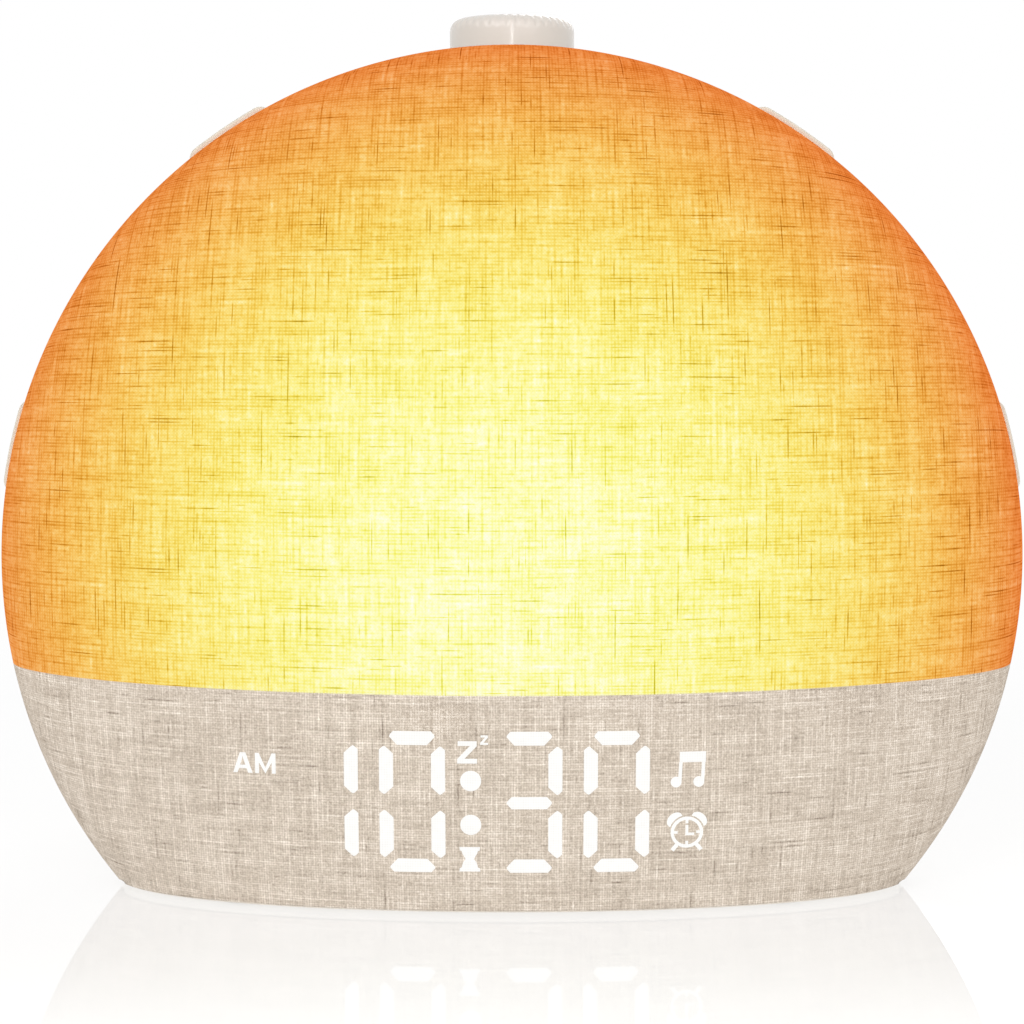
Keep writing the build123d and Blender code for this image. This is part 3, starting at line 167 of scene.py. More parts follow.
# ------------------------------------------------------------------------------ shader nodes
class Graph:
    """A node tree under construction, with one short call for each node it needs."""

    def __init__(self, tree: bpy.types.NodeTree) -> None:
        """Takes the tree to build in."""
        self.tree = tree

    def feed(self, socket: Socket, value: Any) -> None:
        """Links a socket to another, or sets its own value.

        Args:
            socket: An input of a node.
            value: Another node's output, or a number, a vector or a colour.
        """
        if isinstance(value, bpy.types.NodeSocket):
            self.tree.links.new(value, socket)
        elif socket.type == "RGBA":
            socket.default_value = (*value, 1.0)
        else:
            socket.default_value = value

    def node(self, kind: str, inputs: dict[int | str, Any] | None = None, **settings: Any) -> bpy.types.Node:
        """Adds a node.

        Args:
            kind: The node's type, without its first word.
            inputs: Values or sockets for its inputs, by number or name.
            settings: Its properties.

        Returns:
            The node.
        """
        made = self.tree.nodes.new("ShaderNode" + kind)
        for key, value in settings.items():
            setattr(made, key, value)
        for key, value in (inputs or {}).items():
            self.feed(made.inputs[key], value)
        return made

    def call(self, kind: str, *values: Any, **settings: Any) -> Socket:
        """Adds a node, feeds its first inputs in order, and gives its first output."""
        return self.node(kind, dict(enumerate(values)), **settings).outputs[0]

    def math(self, operation: str, *values: Any, clamp: bool = False) -> Socket:
        """One scalar sum of one to three values."""
        return self.call("Math", *values, operation=operation, use_clamp=clamp)

    def total(self, *terms: tuple[Any, float], start: float = 0.0) -> Socket:
        """A starting value plus a sum of values, each times its own weight.

        Args:
            terms: Values and their weights. Those with no weight are left out.
            start: The starting value.

        Returns:
            The sum.
        """
        result: Any = start
        for value, weight in terms:
            result = self.math("MULTIPLY_ADD", value, weight, result) if weight else result
        return result

    def times(self, first: Any, second: Any) -> Socket:
        """The product of two numbers."""
        return self.math("MULTIPLY", first, second)

    def wave(self, value: Any, factor: float) -> Socket:
        """The cosine of a value times a factor."""
        return self.math("COSINE", self.times(value, factor))

    def vector(self, operation: str, first: Any, second: Any) -> Socket:
        """One vector sum."""
        return self.call("VectorMath", first, second, operation=operation)

    def scaled(self, value: Any, factor: Any) -> Socket:
        """A vector times a number."""
        return self.node("VectorMath", {0: value, "Scale": factor}, operation="SCALE").outputs[0]

    def length(self, value: Any) -> Socket:
        """The length of a vector."""
        return self.node("VectorMath", {0: value}, operation="LENGTH").outputs["Value"]

    def split(self, value: Socket) -> tuple[Socket, Socket, Socket]:
        """The three numbers of a vector."""
        return tuple(self.node("SeparateXYZ", {0: value}).outputs)

    def join(self, x: Any, y: Any, z: Any = 0.0) -> Socket:
        """A vector of three numbers."""
        return self.call("CombineXYZ", x, y, z)

    def noise(self, where: Any, scale: float = 1.0, detail: float = 2.0, rough: float = 0.5,
              output: int = 0) -> Socket:
        """Smooth noise from 0 to 1, about 0.5 on average: output 0 a number, output 1 three of them."""
        inputs = {"Vector": where, "Scale": scale, "Detail": detail, "Roughness": rough}
        return self.node("TexNoise", inputs).outputs[output]

    def cells(self, where: Any, scale: float, feature: str = "F1") -> Socket:
        """Distance pattern of a cell texture."""
        made = self.node("TexVoronoi", {"Vector": where, "Scale": scale}, feature=feature)
        return made.outputs["Distance"]

    def step(self, value: Any, low: float, high: float, start: float = 0.0, end: float = 1.0) -> Socket:
        """A smooth step: start below low, end above high."""
        return self.call("MapRange", value, low, high, start, end, interpolation_type="SMOOTHSTEP")

    def blend(self, share: Any, first: Any, second: Any) -> Socket:
        """A colour between two others."""
        return self.node("Mix", {0: share, 6: first, 7: second}, data_type="RGBA").outputs[2]

    def between(self, share: Any, first: Any, second: Any) -> Socket:
        """A number between two others."""
        return self.node("Mix", {0: share, 2: first, 3: second}, data_type="FLOAT").outputs[0]

    def ramp(self, value: Any, stops: Sequence[tuple[float, Rgb]]) -> Socket:
        """A colour ramp.

        Args:
            value: The place on the ramp, from 0 to 1.
            stops: Places on the ramp and their colours.

        Returns:
            The colour.
        """
        made = self.node("ValToRGB", {0: value})
        elements = made.color_ramp.elements
        while len(elements) < len(stops):
            elements.new(1.0)
        for element, (position, colour) in zip(elements, stops):
            element.position = position
            element.color = (*colour, 1.0)
        return made.outputs[0]


class Shader(Graph):
    """A material under construction."""

    def __init__(self, name: str) -> None:
        """Starts an empty node tree with only its output.

        Args:
            name: The material's name.
        """
        self.material = bpy.data.materials.new(name)
        self.material.use_nodes = True
        super().__init__(self.material.node_tree)
        self.tree.nodes.clear()
        self.output = self.tree.nodes.new("ShaderNodeOutputMaterial")

    def place(self) -> Socket:
        """Object coordinates, in metres in the clock's own frame."""
        return self.node("TexCoord").outputs["Object"]

    def bump(self, height: Any, depth: float, strength: float = 1.0) -> Socket:
        """A normal roughened by a height from 0 to 1 over a depth in metres."""
        return self.node("Bump", {"Strength": strength, "Distance": depth, "Height": height}).outputs[0]

    def finish(self, surface: Socket) -> None:
        """Closes the material with its surface."""
        self.feed(self.output.inputs["Surface"], surface)

    def surface(self, **inputs: Any) -> None:
        """Closes the material with a principled surface. Underscores stand for spaces in names."""
        named = {key.replace("_", " "): value for key, value in inputs.items()}
        self.finish(self.node("BsdfPrincipled", named).outputs[0])


# ------------------------------------------------------------------------------ finishes
class Finish:
    """A look that can be built as a material."""

    def material(self, name: str) -> bpy.types.Material:
        """Builds the material.

        Args:
            name: The material's name.

        Returns:
            The material.
        """
        shader = Shader(name)
        self.wire(shader, shader.place())
        return shader.material

    def wire(self, shader: Shader, where: Socket) -> None:
        """Builds the surface.

        Args:
            shader: The material under construction.
            where: The object's own coordinates.
        """
        raise NotImplementedError


class Grain(Enum):
    """Textures of a mould: the grain's size and its depth, in millimetres."""

    SPARK = (0.35, 0.030)
    FINE = (0.22, 0.015)
    SATIN = (0.15, 0.008)
    POLISHED = (0.60, 0.002)


@dataclass(frozen=True)
class MouldedPlastic(Finish):
    """An injection moulding: an even colour, a mould grain, and slow drifts of tone and gloss."""

    colour: Rgb
    grain: Grain = Grain.SPARK
    roughness: float = 0.42
    gloss_drift: float = 0.08
    tone_drift: float = 0.04
    specular: float = 0.5
    coat: float = 0.0
    see_through: float = 0.0
    drift_size: float = 28 * MM
    touch_size: float = 7 * MM

    def wire(self, shader: Shader, where: Socket) -> None:
        """Builds the surface."""
        size, depth = self.grain.value
        grain = shader.noise(where, 1 / (size * MM), 2.0, 0.6)
        pits = shader.cells(where, 1 / (1.6 * size * MM))
        drift = shader.noise(where, 1 / self.drift_size, 3.0)
        handled = shader.noise(where, 1 / self.touch_size, 4.0, 0.6)
        tone = shader.total((drift, self.tone_drift), (grain, self.tone_drift))
        dark = tuple(value * (1 - self.tone_drift) for value in self.colour)
        light = tuple(min(1.0, value * (1 + self.tone_drift)) for value in self.colour)
        share = shader.math("MULTIPLY", tone, 1 / (2 * self.tone_drift), clamp=True)
        rough = shader.total((handled, self.gloss_drift), (grain, self.gloss_drift),
                             start=self.roughness - self.gloss_drift)
        height = shader.total((grain, 0.65), (pits, 0.35))
        shader.surface(Base_Color=shader.blend(share, dark, light), Roughness=rough,
                       Specular_IOR_Level=self.specular, Coat_Weight=self.coat, Coat_Roughness=0.12,
                       Subsurface_Weight=self.see_through, Subsurface_Scale=3 * MM,
                       Normal=shader.bump(height, depth * MM))


@dataclass(frozen=True)
class BareMetal(Finish):
    """Metal with a drawn or turned surface and a thin tarnish."""

    colour: Rgb
    roughness: float = 0.28
    streak: float = 0.12
    tarnish: float = 0.25

    def wire(self, shader: Shader, where: Socket) -> None:
        """Builds the surface."""
        x, y, z = shader.split(where)
        lines = shader.noise(shader.join(x, shader.times(y, 0.08), z), 1 / (0.12 * MM), 2.0)
        spots = shader.noise(where, 1 / (2.2 * MM), 4.0, 0.65)
        worn = tuple(0.55 * value for value in self.colour)
        share = shader.times(shader.step(spots, 0.50, 0.75), self.tarnish)
        rough = shader.math("MULTIPLY_ADD", lines, self.streak, self.roughness - self.streak / 2)
        shader.surface(Base_Color=shader.blend(share, self.colour, worn), Metallic=1.0,
                       Roughness=rough, Normal=shader.bump(lines, 0.006 * MM))


@dataclass(frozen=True)
class Elastomer(Finish):
    """Rubber or foam: matt, with pores of a given size and a dusty bloom."""

    colour: Rgb
    pore: float = 0.3
    depth: float = 0.05
    roughness: float = 0.75
    bloom: float = 0.25

    def wire(self, shader: Shader, where: Socket) -> None:
        """Builds the surface."""
        pores = shader.cells(where, 1 / (self.pore * MM))
        dust = shader.noise(where, 1 / (3.5 * MM), 4.0, 0.6)
        pale = tuple(0.75 * value + 0.10 for value in self.colour)
        share = shader.times(shader.step(dust, 0.4, 0.8), self.bloom)
        rough = shader.math("MULTIPLY_ADD", dust, 0.2, self.roughness - 0.1)
        shader.surface(Base_Color=shader.blend(share, self.colour, pale), Roughness=rough,
                       Sheen_Weight=0.15, Normal=shader.bump(pores, self.depth * MM))


@dataclass(frozen=True)
class PrintedBoard(Finish):
    """A circuit board or film: solder mask over copper tracks, with tinned pads between them."""

    mask: Rgb
    track_pitch: float = 1.6
    track_share: float = 0.30
    pad_pitch: float = 3.2
    roughness: float = 0.32

    def wire(self, shader: Shader, where: Socket) -> None:
        """Builds the surface: tracks are bands of a stepped field, pads are dots of a cell grid."""
        x, _, _ = shader.split(where)
        jog = shader.times(shader.math("SNAP", shader.noise(where, 1 / (9 * MM), 0.0), 0.125), 24.0)
        band = shader.math("FRACT", shader.math("MULTIPLY_ADD", x, 1 / (self.track_pitch * MM), jog))
        track = shader.math("LESS_THAN", band, self.track_share)
        pads = shader.step(shader.cells(where, 1 / (self.pad_pitch * MM)), 0.12, 0.17, 1.0, 0.0)
        copper = tuple(min(1.0, 1.45 * value + 0.03) for value in self.mask)
        tin = paint(196, 192, 178)
        height = shader.total((track, 0.6), (pads, 0.4))
        shader.surface(Base_Color=shader.blend(pads, shader.blend(track, self.mask, copper), tin),
                       Metallic=shader.times(pads, 0.8), Roughness=self.roughness,
                       Normal=shader.bump(height, 0.03 * MM))


@dataclass(frozen=True)
class ConePaper(Finish):
    """Pressed paper: fibres in all directions and a faint mottle."""

    colour: Rgb
    fibre: float = 0.5

    def wire(self, shader: Shader, where: Socket) -> None:
        """Builds the surface."""
        drift = shader.vector("SUBTRACT", shader.noise(where, 1 / (4 * MM)), (0.5, 0.5, 0.5))
        bent = shader.vector("ADD", where, shader.scaled(drift, 2 * MM))
        fibres = shader.cells(bent, 1 / (self.fibre * MM), "SMOOTH_F1")
        mottle = shader.noise(where, 1 / (2 * MM), 4.0, 0.7)
        pale = tuple(1.8 * value + 0.02 for value in self.colour)
        shader.surface(Base_Color=shader.blend(mottle, self.colour, pale), Roughness=0.9,
                       Sheen_Weight=0.2, Normal=shader.bump(fibres, 0.06 * MM))


@dataclass(frozen=True)
class WovenLight(Finish):
    """White light that comes through the linen: even, with the threads just showing."""

    colour: Rgb = paint(255, 254, 251)
    unlit: Rgb = (0.04, 0.04, 0.038)
    strength: float = 1.0
    thread_pitch: float = 0.42 * MM
    thread_depth: float = 0.02
    blotch_depth: float = 0.12

    def wire(self, shader: Shader, where: Socket) -> None:
        """Builds the surface: two sets of threads take a little of the light away."""
        x, _, z = shader.split(where)
        turns = 2 * math.pi / self.thread_pitch
        threads = shader.math("ADD", shader.wave(x, turns), shader.wave(z, turns))
        blotch = shader.noise(where, 1 / (1.2 * MM), 3.0)
        level = shader.total((threads, self.thread_depth), (blotch, self.blotch_depth), start=0.90)
        lit = shader.scaled(shader.join(*self.colour), level)
        shader.surface(Base_Color=self.unlit, Roughness=0.8, Emission_Color=lit,
                       Emission_Strength=self.strength, Specular_IOR_Level=0.1)


class Threads:
    """One set of the linen's threads, warp or weft, as values over the cloth.

    Attributes:
        hill: Cross-section: 1 on a thread's middle line, 0 between threads.
        body: What a thread's weight adds: most on its middle line, a little beside it.
        slub: Dark slubs, kept to the middle line.
        pale: Pale slubs.
    """

    # Steps of the noises, first from one thread to the next and then along a thread.
    APART: ClassVar[float] = 3.73
    BAND_APART: ClassVar[float] = 0.22
    SLOW: ClassVar[float] = 0.040
    QUICK: ClassVar[float] = 0.33
    BAND: ClassVar[float] = 0.022
    # What shows of a thread's weight between the threads, and where slubs start and are full.
    SPREAD: ClassVar[float] = 0.35
    SLUB_START: ClassVar[tuple[float, float]] = (0.57, 0.73)
    PALE_START: ClassVar[tuple[float, float]] = (0.34, 0.25)

    def __init__(self, shader: Shader, across: Socket, along: Socket, seed: float) -> None:
        """Wires the values: noise stretched along each thread and unlike its neighbour's.

        Args:
            shader: The material under construction.
            across: The place across the threads, in threads.
            along: The place along them, in threads.
            seed: Offset that sets warp and weft apart.
        """
        self.shader, self.along, self.seed = shader, along, seed
        self.row = shader.math("ROUND", across)
        self.hill = shader.total((shader.wave(across, 2 * math.pi), 0.5), start=0.5)
        weight = shader.total((self.streak(self.APART, self.SLOW, 0.0, 2.0, 0.6), 0.55),
                              (self.streak(self.APART, self.QUICK, 7.0), 0.25),
                              (self.streak(self.BAND_APART, self.BAND, 13.0), 0.20), start=-0.5)
        lump = self.streak(self.APART, self.SLOW, 31.0, 2.0, 0.65)
        self.body = shader.times(weight, shader.math("ADD", self.hill, self.SPREAD))
        self.slub = shader.times(shader.step(lump, *self.SLUB_START), shader.math("POWER", self.hill, 4.0))
        self.pale = shader.times(shader.step(lump, *self.PALE_START), self.hill)

    def streak(self, apart: float, stretch: float, layer: float, detail: float = 1.0,
               rough: float = 0.5) -> Socket:
        """Noise along the threads.

        Args:
            apart: Its step from one thread to the next.
            stretch: Its step along a thread, for each thread crossed.
            layer: Place that sets one noise apart from another.
            detail: Detail of the noise.
            rough: Roughness of the noise.

        Returns:
            The noise, from 0 to 1.
        """
        lane = self.shader.math("MULTIPLY_ADD", self.row, apart, self.seed)
        return self.shader.noise(self.shader.join(lane, self.shader.times(self.along, stretch), layer),
                                 1.0, detail, rough)


@dataclass(frozen=True)
class Recipe:
    """How much each feature of the cloth adds to one of its values, and what it is without them.

    The features are the threads' cover and relief (height), their weight (body), dark and pale
    slubs, slow clouds over the cloth, and flecks a thread wide.
    """

    start: float = 0.0
    cover: float = 0.0
    height: float = 0.0
    body: float = 0.0
    slub: float = 0.0
    pale: float = 0.0
    cloud: float = 0.0
    fleck: float = 0.0

    def value(self, shader: Shader, features: dict[str, Socket]) -> Socket:
        """The sum of the features by their names."""
        terms = ((socket, getattr(self, name)) for name, socket in features.items())
        return shader.total(*terms, start=self.start)


@dataclass(frozen=True)
class Linen(Finish):
    """Stretched linen, lit from behind above a divider and lying on an unlit panel below it.

    Both zones share one weave: warp threads run up the cloth and weft threads across it, and each
    crossing lifts one of them. Every thread has its own thickness, which changes slowly along it,
    with slubs where it is thickest. Light that comes through is the lamp's light times
    exp(-shade * thickness), and what shows is 1 - exp(-light), so the lit middle pales as an
    overexposed lamp does, and thick threads look browner towards the rim.
    """

    divider: float
    axis: float
    radius: float
    lit_pitch: float = 0.55 * MM
    plain_pitch: float = 0.43 * MM
    warp_share: float = 0.85
    wander: float = 0.9
    wander_size: float = 22 * MM
    cloud_size: float = 9 * MM
    divider_bow: float = 1.13 * MM
    divider_blur: float = 0.10 * MM
    lamp_x: float = -1.5 * MM
    lamp_drop: float = 1.0 * MM
    rim: tuple[float, float] = (0.86, 1.08)
    lamp: Rgb = (4.30, 4.00, 0.65)
    fall: Rgb = (0.80, 2.76, 3.70)
    tail: Rgb = (0.0, -0.30, -1.50)
    shade: Rgb = (0.53, 0.51, 1.00)
    edge: Rgb = (0.0, 0.28, 0.55)
    # Shares of the painted glow: as emission and as base colour.
    emitted: float = 0.70
    glow_in_base: float = 0.24
    relief_depth: float = 0.10 * MM
    thread_dark: Rgb = paint(118, 104, 92)
    thread_mid: Rgb = paint(196, 183, 168)
    thread_pale: Rgb = paint(248, 238, 226)
    thickness: Recipe = Recipe(-0.57, cover=0.80, body=4.50, slub=2.70, pale=-0.60, cloud=0.85, fleck=1.10)
    # The height term of the tone lightens thread crests and darkens the hollows between threads: painted
    # shade.
    tone: Recipe = Recipe(0.435, height=0.22, body=1.00, slub=-0.42, pale=0.22, cloud=0.11, fleck=0.50)
    relief: Recipe = Recipe(height=0.6, body=0.6, slub=0.5, pale=0.4)

    def wire(self, shader: Shader, where: Socket) -> None:
        """Builds the surface: the divider parts the lit zone from plain cloth."""
        x, _, z = shader.split(where)
        beside = shader.math("POWER", shader.math("DIVIDE", x, self.radius), 2.0)
        over = shader.math("MULTIPLY_ADD", beside, -self.divider_bow, z)
        lit = shader.step(over, self.divider - self.divider_blur, self.divider + self.divider_blur)
        features = self.weave(shader, shader.math("GREATER_THAN", over, self.divider))
        shine = self.transmitted(shader, x, z, self.thickness.value(shader, features))
        flax = shader.ramp(self.tone.value(shader, features),
                           [(0.0, self.thread_dark), (0.5, self.thread_mid), (1.0, self.thread_pale)])
        # Above the divider the lamp's glow is painted on the cloth: a share of it as base colour, the rest
        # as emission.
        base = shader.blend(lit, flax, shader.scaled(shine, self.glow_in_base))
        sent = shader.blend(lit, (0.0, 0.0, 0.0), shader.scaled(shine, self.emitted))
        rough = shader.math("MULTIPLY_ADD", features["height"], -0.12, 0.92)
        relief = self.relief.value(shader, features)
        shader.surface(Base_Color=base, Roughness=rough, Emission_Color=sent, Emission_Strength=1.0,
                       Specular_IOR_Level=0.0, Normal=shader.bump(relief, self.relief_depth, 0.8))

    def weave(self, shader: Shader, above: Socket) -> dict[str, Socket]:
        """Features of the cloth, whose threads wander a little from their straight lines.

        Args:
            shader: The material under construction.
            above: 1 above the divider, where the cloth is stretched wider, and 0 below it.

        Returns:
            The features that a recipe weighs, by name.
        """
        cloth = shader.node("Attribute", attribute_name="weave").outputs["Vector"]
        per_metre = shader.between(above, 1 / self.plain_pitch, 1 / self.lit_pitch)
        drift = shader.vector("SUBTRACT", shader.noise(cloth, 1 / self.wander_size, output=1), (0.5,) * 3)
        place = shader.vector("ADD", shader.scaled(cloth, per_metre), shader.scaled(drift, self.wander))
        right, up, _ = shader.split(place)
        warp, weft = Threads(shader, right, up, 0.0), Threads(shader, up, right, 57.0)
        crossing = shader.times(shader.wave(right, math.pi), shader.wave(up, math.pi))
        warp_up = shader.math("MULTIPLY_ADD", crossing, 0.5, 0.5)
        return {"cover": shader.math("MAXIMUM", shader.times(warp.hill, self.warp_share), weft.hill),
                "height": shader.between(warp_up, weft.hill, warp.hill),
                "body": shader.math("ADD", warp.body, weft.body),
                "slub": shader.math("MAXIMUM", warp.slub, weft.slub),
                "pale": shader.math("MAXIMUM", warp.pale, weft.pale),
                "cloud": shader.math("SUBTRACT", shader.noise(cloth, 1 / self.cloud_size, 4.0, 0.55), 0.5),
                "fleck": shader.math("SUBTRACT", shader.noise(shader.join(right, up), 1.1, 1.0), 0.5)}

    def transmitted(self, shader: Shader, x: Socket, z: Socket, thickness: Socket) -> Socket:
        """Light through the lit zone.

        At a share r of the rim's radius the light is lamp * exp(-fall * r ** 2 - tail * r ** 4),
        and edge takes some more away close to the rim.

        Args:
            shader: The material under construction.
            x: World X.
            z: World Z.
            thickness: The cloth's thickness.

        Returns:
            The light as a colour.
        """
        centre = (self.lamp_x, self.axis - self.lamp_drop, 0)
        share = shader.math("DIVIDE", shader.length(shader.vector("SUBTRACT", shader.join(x, z), centre)),
                            self.radius)
        square, fourth = (shader.math("POWER", share, power) for power in (2.0, 4.0))
        close = shader.step(square, *self.rim)
        channels = []
        for lamp, fall, tail, shade, edge in zip(self.lamp, self.fall, self.tail, self.shade, self.edge):
            power = shader.total((square, -fall), (fourth, -tail), (thickness, -shade), (close, -edge))
            light = shader.times(shader.math("EXPONENT", power), -lamp)
            channels.append(shader.math("SUBTRACT", 1.0, shader.math("EXPONENT", light)))
        return shader.join(*channels)


# ------------------------------------------------------------------------------ the clock's own sizes
@dataclass(frozen=True)
class DomeShape:
    """The linen's outer surface: half an ellipsoid in front of the rim, turned about the dome axis."""

    radius: float
    bulge: float
    rim_y: float
    axis_z: float
    hem_y: float
    floor_cut: float
    divider: float
    hem_width: float = 3.0 * MM
    cloth: float = 0.6 * MM

    @classmethod
    def from_frame(cls) -> "DomeShape":
        """Reads the shape from the boxes of the linen cover and of the diffuser dome under it.

        Returns:
            The dome's sizes in metres.
        """
        low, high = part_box("linen_cover")
        radius = (high.x - low.x) / 2
        hem_depth = 1.3 * MM
        shell_gap = 0.05 * MM
        return cls(radius=radius, bulge=high.y - hem_depth - low.y, rim_y=high.y - hem_depth,
                   axis_z=high.z - radius, hem_y=high.y, floor_cut=low.z,
                   divider=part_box("diffuser_dome")[0].z - shell_gap)

    def depth(self, x: np.ndarray, z: np.ndarray) -> np.ndarray:
        """World Y of the linen's surface over points of the front view.

        Args:
            x: World X of each point, in metres.
            z: World Z of each point, in metres.

        Returns:
            Y by the ellipsoid: rim_y - bulge * sqrt(1 - (distance from the axis / radius) squared).
        """
        share = (x ** 2 + (z - self.axis_z) ** 2) / self.radius ** 2
        return self.rim_y - self.bulge * np.sqrt(np.clip(1 - share, 0, 1))


# ------------------------------------------------------------------------------ linen cover
@dataclass(frozen=True)
class LinenCover:
    """The one stretched sheet over dome and panel, turned under at its hem and cut at the base."""

    SECTION: ClassVar[int] = 1200

    dome: DomeShape
    upper_columns: int = 300
    lower_columns: int = 130
    rings: int = 84
    hem_rings: int = 14
    crown_share: float = 0.015
    ring_ease: float = 1.25
    hem_turn: float = 0.5 * MM

    def profile(self) -> tuple[np.ndarray, np.ndarray]:
        """Half section from the crown over the rim to the hem's inner edge.

        The front is (radius * sin(t), rim_y - bulge * cos(t)) for t up to a quarter turn.

        Returns:
            Points (radius, y), close together, and the length along the cloth to each of them.
        """
        dome = self.dome
        theta = np.linspace(0, np.pi / 2, self.SECTION)
        front = np.stack([dome.radius * np.sin(theta), dome.rim_y - dome.bulge * np.cos(theta)], axis=-1)
        corner = arc((dome.radius - self.hem_turn, dome.hem_y - self.hem_turn), self.hem_turn, 0, 90, 12)
        inner = np.array([[dome.radius - dome.hem_width, dome.hem_y]])
        points = np.concatenate([front, corner, inner])
        steps = np.hypot(*np.diff(points, axis=0).T)
        return points, np.concatenate([[0.0], np.cumsum(steps)])

    def azimuths(self) -> np.ndarray:
        """Azimuths from straight up: first those that reach the hem, then those that end at the cut.

        Returns:
            One angle a row, in radians.
        """
        corner = np.pi - np.arccos((self.dome.axis_z - self.dome.floor_cut) / self.dome.radius)
        upper = np.linspace(-corner, corner, self.upper_columns)
        lower = np.linspace(corner, 2 * np.pi - corner, self.lower_columns + 2)[1:-1]
        return np.concatenate([upper, lower])

    def place(self, azimuth: np.ndarray, length: np.ndarray) -> tuple[np.ndarray, np.ndarray]:
        """Points of the cloth at azimuths and lengths from the crown.

        The section gives a radius and a Y for each length. In the world the point is turned to its
        azimuth about the dome's axis; in the flat cloth it lies at its length along the azimuth.

        Args:
            azimuth: Azimuth of each row, from straight up.
            length: Length from the crown of each point (row, ring).

        Returns:
            World points (row, ring, 3), and the place of each in the flat cloth.
        """
        points, run = self.profile()
        radius = np.interp(length, run, points[:, 0])
        y = np.interp(length, run, points[:, 1])
        sine, cosine = np.sin(azimuth)[:, None], np.cos(azimuth)[:, None]
        world = np.stack([radius * sine, y, self.dome.axis_z + radius * cosine], axis=-1)
        flat = np.stack([length * sine, length * cosine, np.zeros_like(length)], axis=-1)
        return world.reshape(-1, 3), flat.reshape(-1, 3)

    def build(self) -> bpy.types.Object:
        """Makes the sheet: dome, hem, closed crown, thickness, and its place-in-cloth attribute.

        At each azimuth the dome part runs from just off the crown to the rim, or to the straight
        cut above the floor where that comes first: the cut meets a ray at the radius
        (axis height - cut height) / -cos(azimuth). The hem part goes on from the rim.

        Returns:
            The sheet.
        """
        dome, azimuth = self.dome, self.azimuths()
        upper, below = np.split(azimuth, [self.upper_columns])
        points, run = self.profile()
        to_rim = run[self.SECTION - 1]
        to_cut = np.interp((dome.floor_cut - dome.axis_z) / np.cos(below), points[:self.SECTION, 0],
                           run[:self.SECTION])
        reach = np.concatenate([np.full(upper.shape, to_rim), to_cut])
        share = 1 - (1 - np.linspace(self.crown_share, 1, self.rings)) ** self.ring_ease
        dome_points, dome_flat = self.place(azimuth, reach[:, None] * share)
        hem_length = np.linspace(to_rim, run[-1], self.hem_rings + 1)[1:]
        hem_points, hem_flat = self.place(upper, np.tile(hem_length, (len(upper), 1)))
        crown = np.array([[0.0, dome.rim_y - dome.bulge, dome.axis_z]])

        every = np.concatenate([dome_points, hem_points, crown])
        numbers = np.arange(len(every) - 1)
        ring = numbers[:len(dome_points)].reshape(-1, self.rings)
        hem = numbers[len(dome_points):].reshape(-1, self.hem_rings)
        hem_faces = quads(np.concatenate([ring[:len(upper), -1:], hem], axis=1))
        faces = [grid_faces(*ring.shape, close_rows=True), hem_faces, fan_faces(ring[:, 0], len(every) - 1)]
        sheet = make_object("linen_sheet", every, faces)
        weave = sheet.data.attributes.new("weave", "FLOAT_VECTOR", "POINT")
        places = np.concatenate([dome_flat, hem_flat, np.zeros((1, 3))])
        weave.data.foreach_set("vector", places.astype(np.float32).ravel())
        add_wall(sheet, dome.cloth, -1.0)
        return sheet

    def dress(self, sheet: bpy.types.Object) -> None:
        """Args:
            sheet: The sheet that build made.
        """
        finish = Linen(divider=self.dome.divider, axis=self.dome.axis_z, radius=self.dome.radius)
        sheet.data.materials.append(finish.material("linen"))
        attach(sheet, "case")
        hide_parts("linen_cover")
        length = self.profile()[1][-1]


# ------------------------------------------------------------------------------ lit figures
class Bar(Enum):
    """Bars of a figure: the column and row of the bar's middle, and whether it lies flat."""

    TOP = (0, 1, True)
    MIDDLE = (0, 0, True)
    BOTTOM = (0, -1, True)
    UPPER_LEFT = (-1, 0.5, False)
    UPPER_RIGHT = (1, 0.5, False)
    LOWER_LEFT = (-1, -0.5, False)
    LOWER_RIGHT = (1, -0.5, False)


RIGHT_BARS = (Bar.UPPER_RIGHT, Bar.LOWER_RIGHT)
FIGURE_BARS: dict[int, tuple[Bar, ...]] = {
    0: (Bar.TOP, Bar.BOTTOM, Bar.UPPER_LEFT, Bar.LOWER_LEFT, *RIGHT_BARS),
    1: RIGHT_BARS,
    3: (Bar.TOP, Bar.MIDDLE, Bar.BOTTOM, *RIGHT_BARS),
}
Patch = np.ndarray


def strip(x: np.ndarray, low: np.ndarray, high: np.ndarray, columns: int = 3) -> Patch:
    """A flat patch between two edge lines over X: low + share * (high - low) at each station.

    Args:
        x: Stations from left to right.
        low: Height of the lower edge at each station.
        high: Height of the upper edge.
        columns: Number of points from edge to edge.

    Returns:
        Points (station, share, 2), in millimetres of the front view.
    """
    z = low[:, None] + (high - low)[:, None] * np.linspace(0, 1, columns)
    return np.stack([np.broadcast_to(x[:, None], z.shape), z], axis=-1)


def tower(heights: np.ndarray, left: np.ndarray, right: np.ndarray, columns: int = 3) -> Patch:
    """The same on end: a flat patch between a left and a right edge line over the height."""
    return strip(heights, left, right, columns)[..., ::-1]


def block(left: float, right: float, low: float, high: float, count: int = 2) -> Patch:
    """An upright rectangle with some rows of points."""
    return tower(np.linspace(low, high, count), np.full(count, left), np.full(count, right))


def disc(x: float, z: float, radius: float, count: int = 41) -> Patch:
    """A round dot: stations to the right, with edges plus and minus the half chord."""
    turn = np.linspace(0.02, np.pi - 0.02, count)
    return strip(x - radius * np.cos(turn), z - radius * np.sin(turn), z + radius * np.sin(turn), 7)


def hoop(x: float, z: float, inner: float, outer: float, count: int = 73) -> Patch:
    """A full ring: azimuth once round, and radius from inner to outer."""
    angle, radius = np.linspace(0, 2 * np.pi, count)[:, None], np.linspace(inner, outer, 3)
    return np.stack([x + radius * np.cos(angle), z + radius * np.sin(angle)], axis=-1)


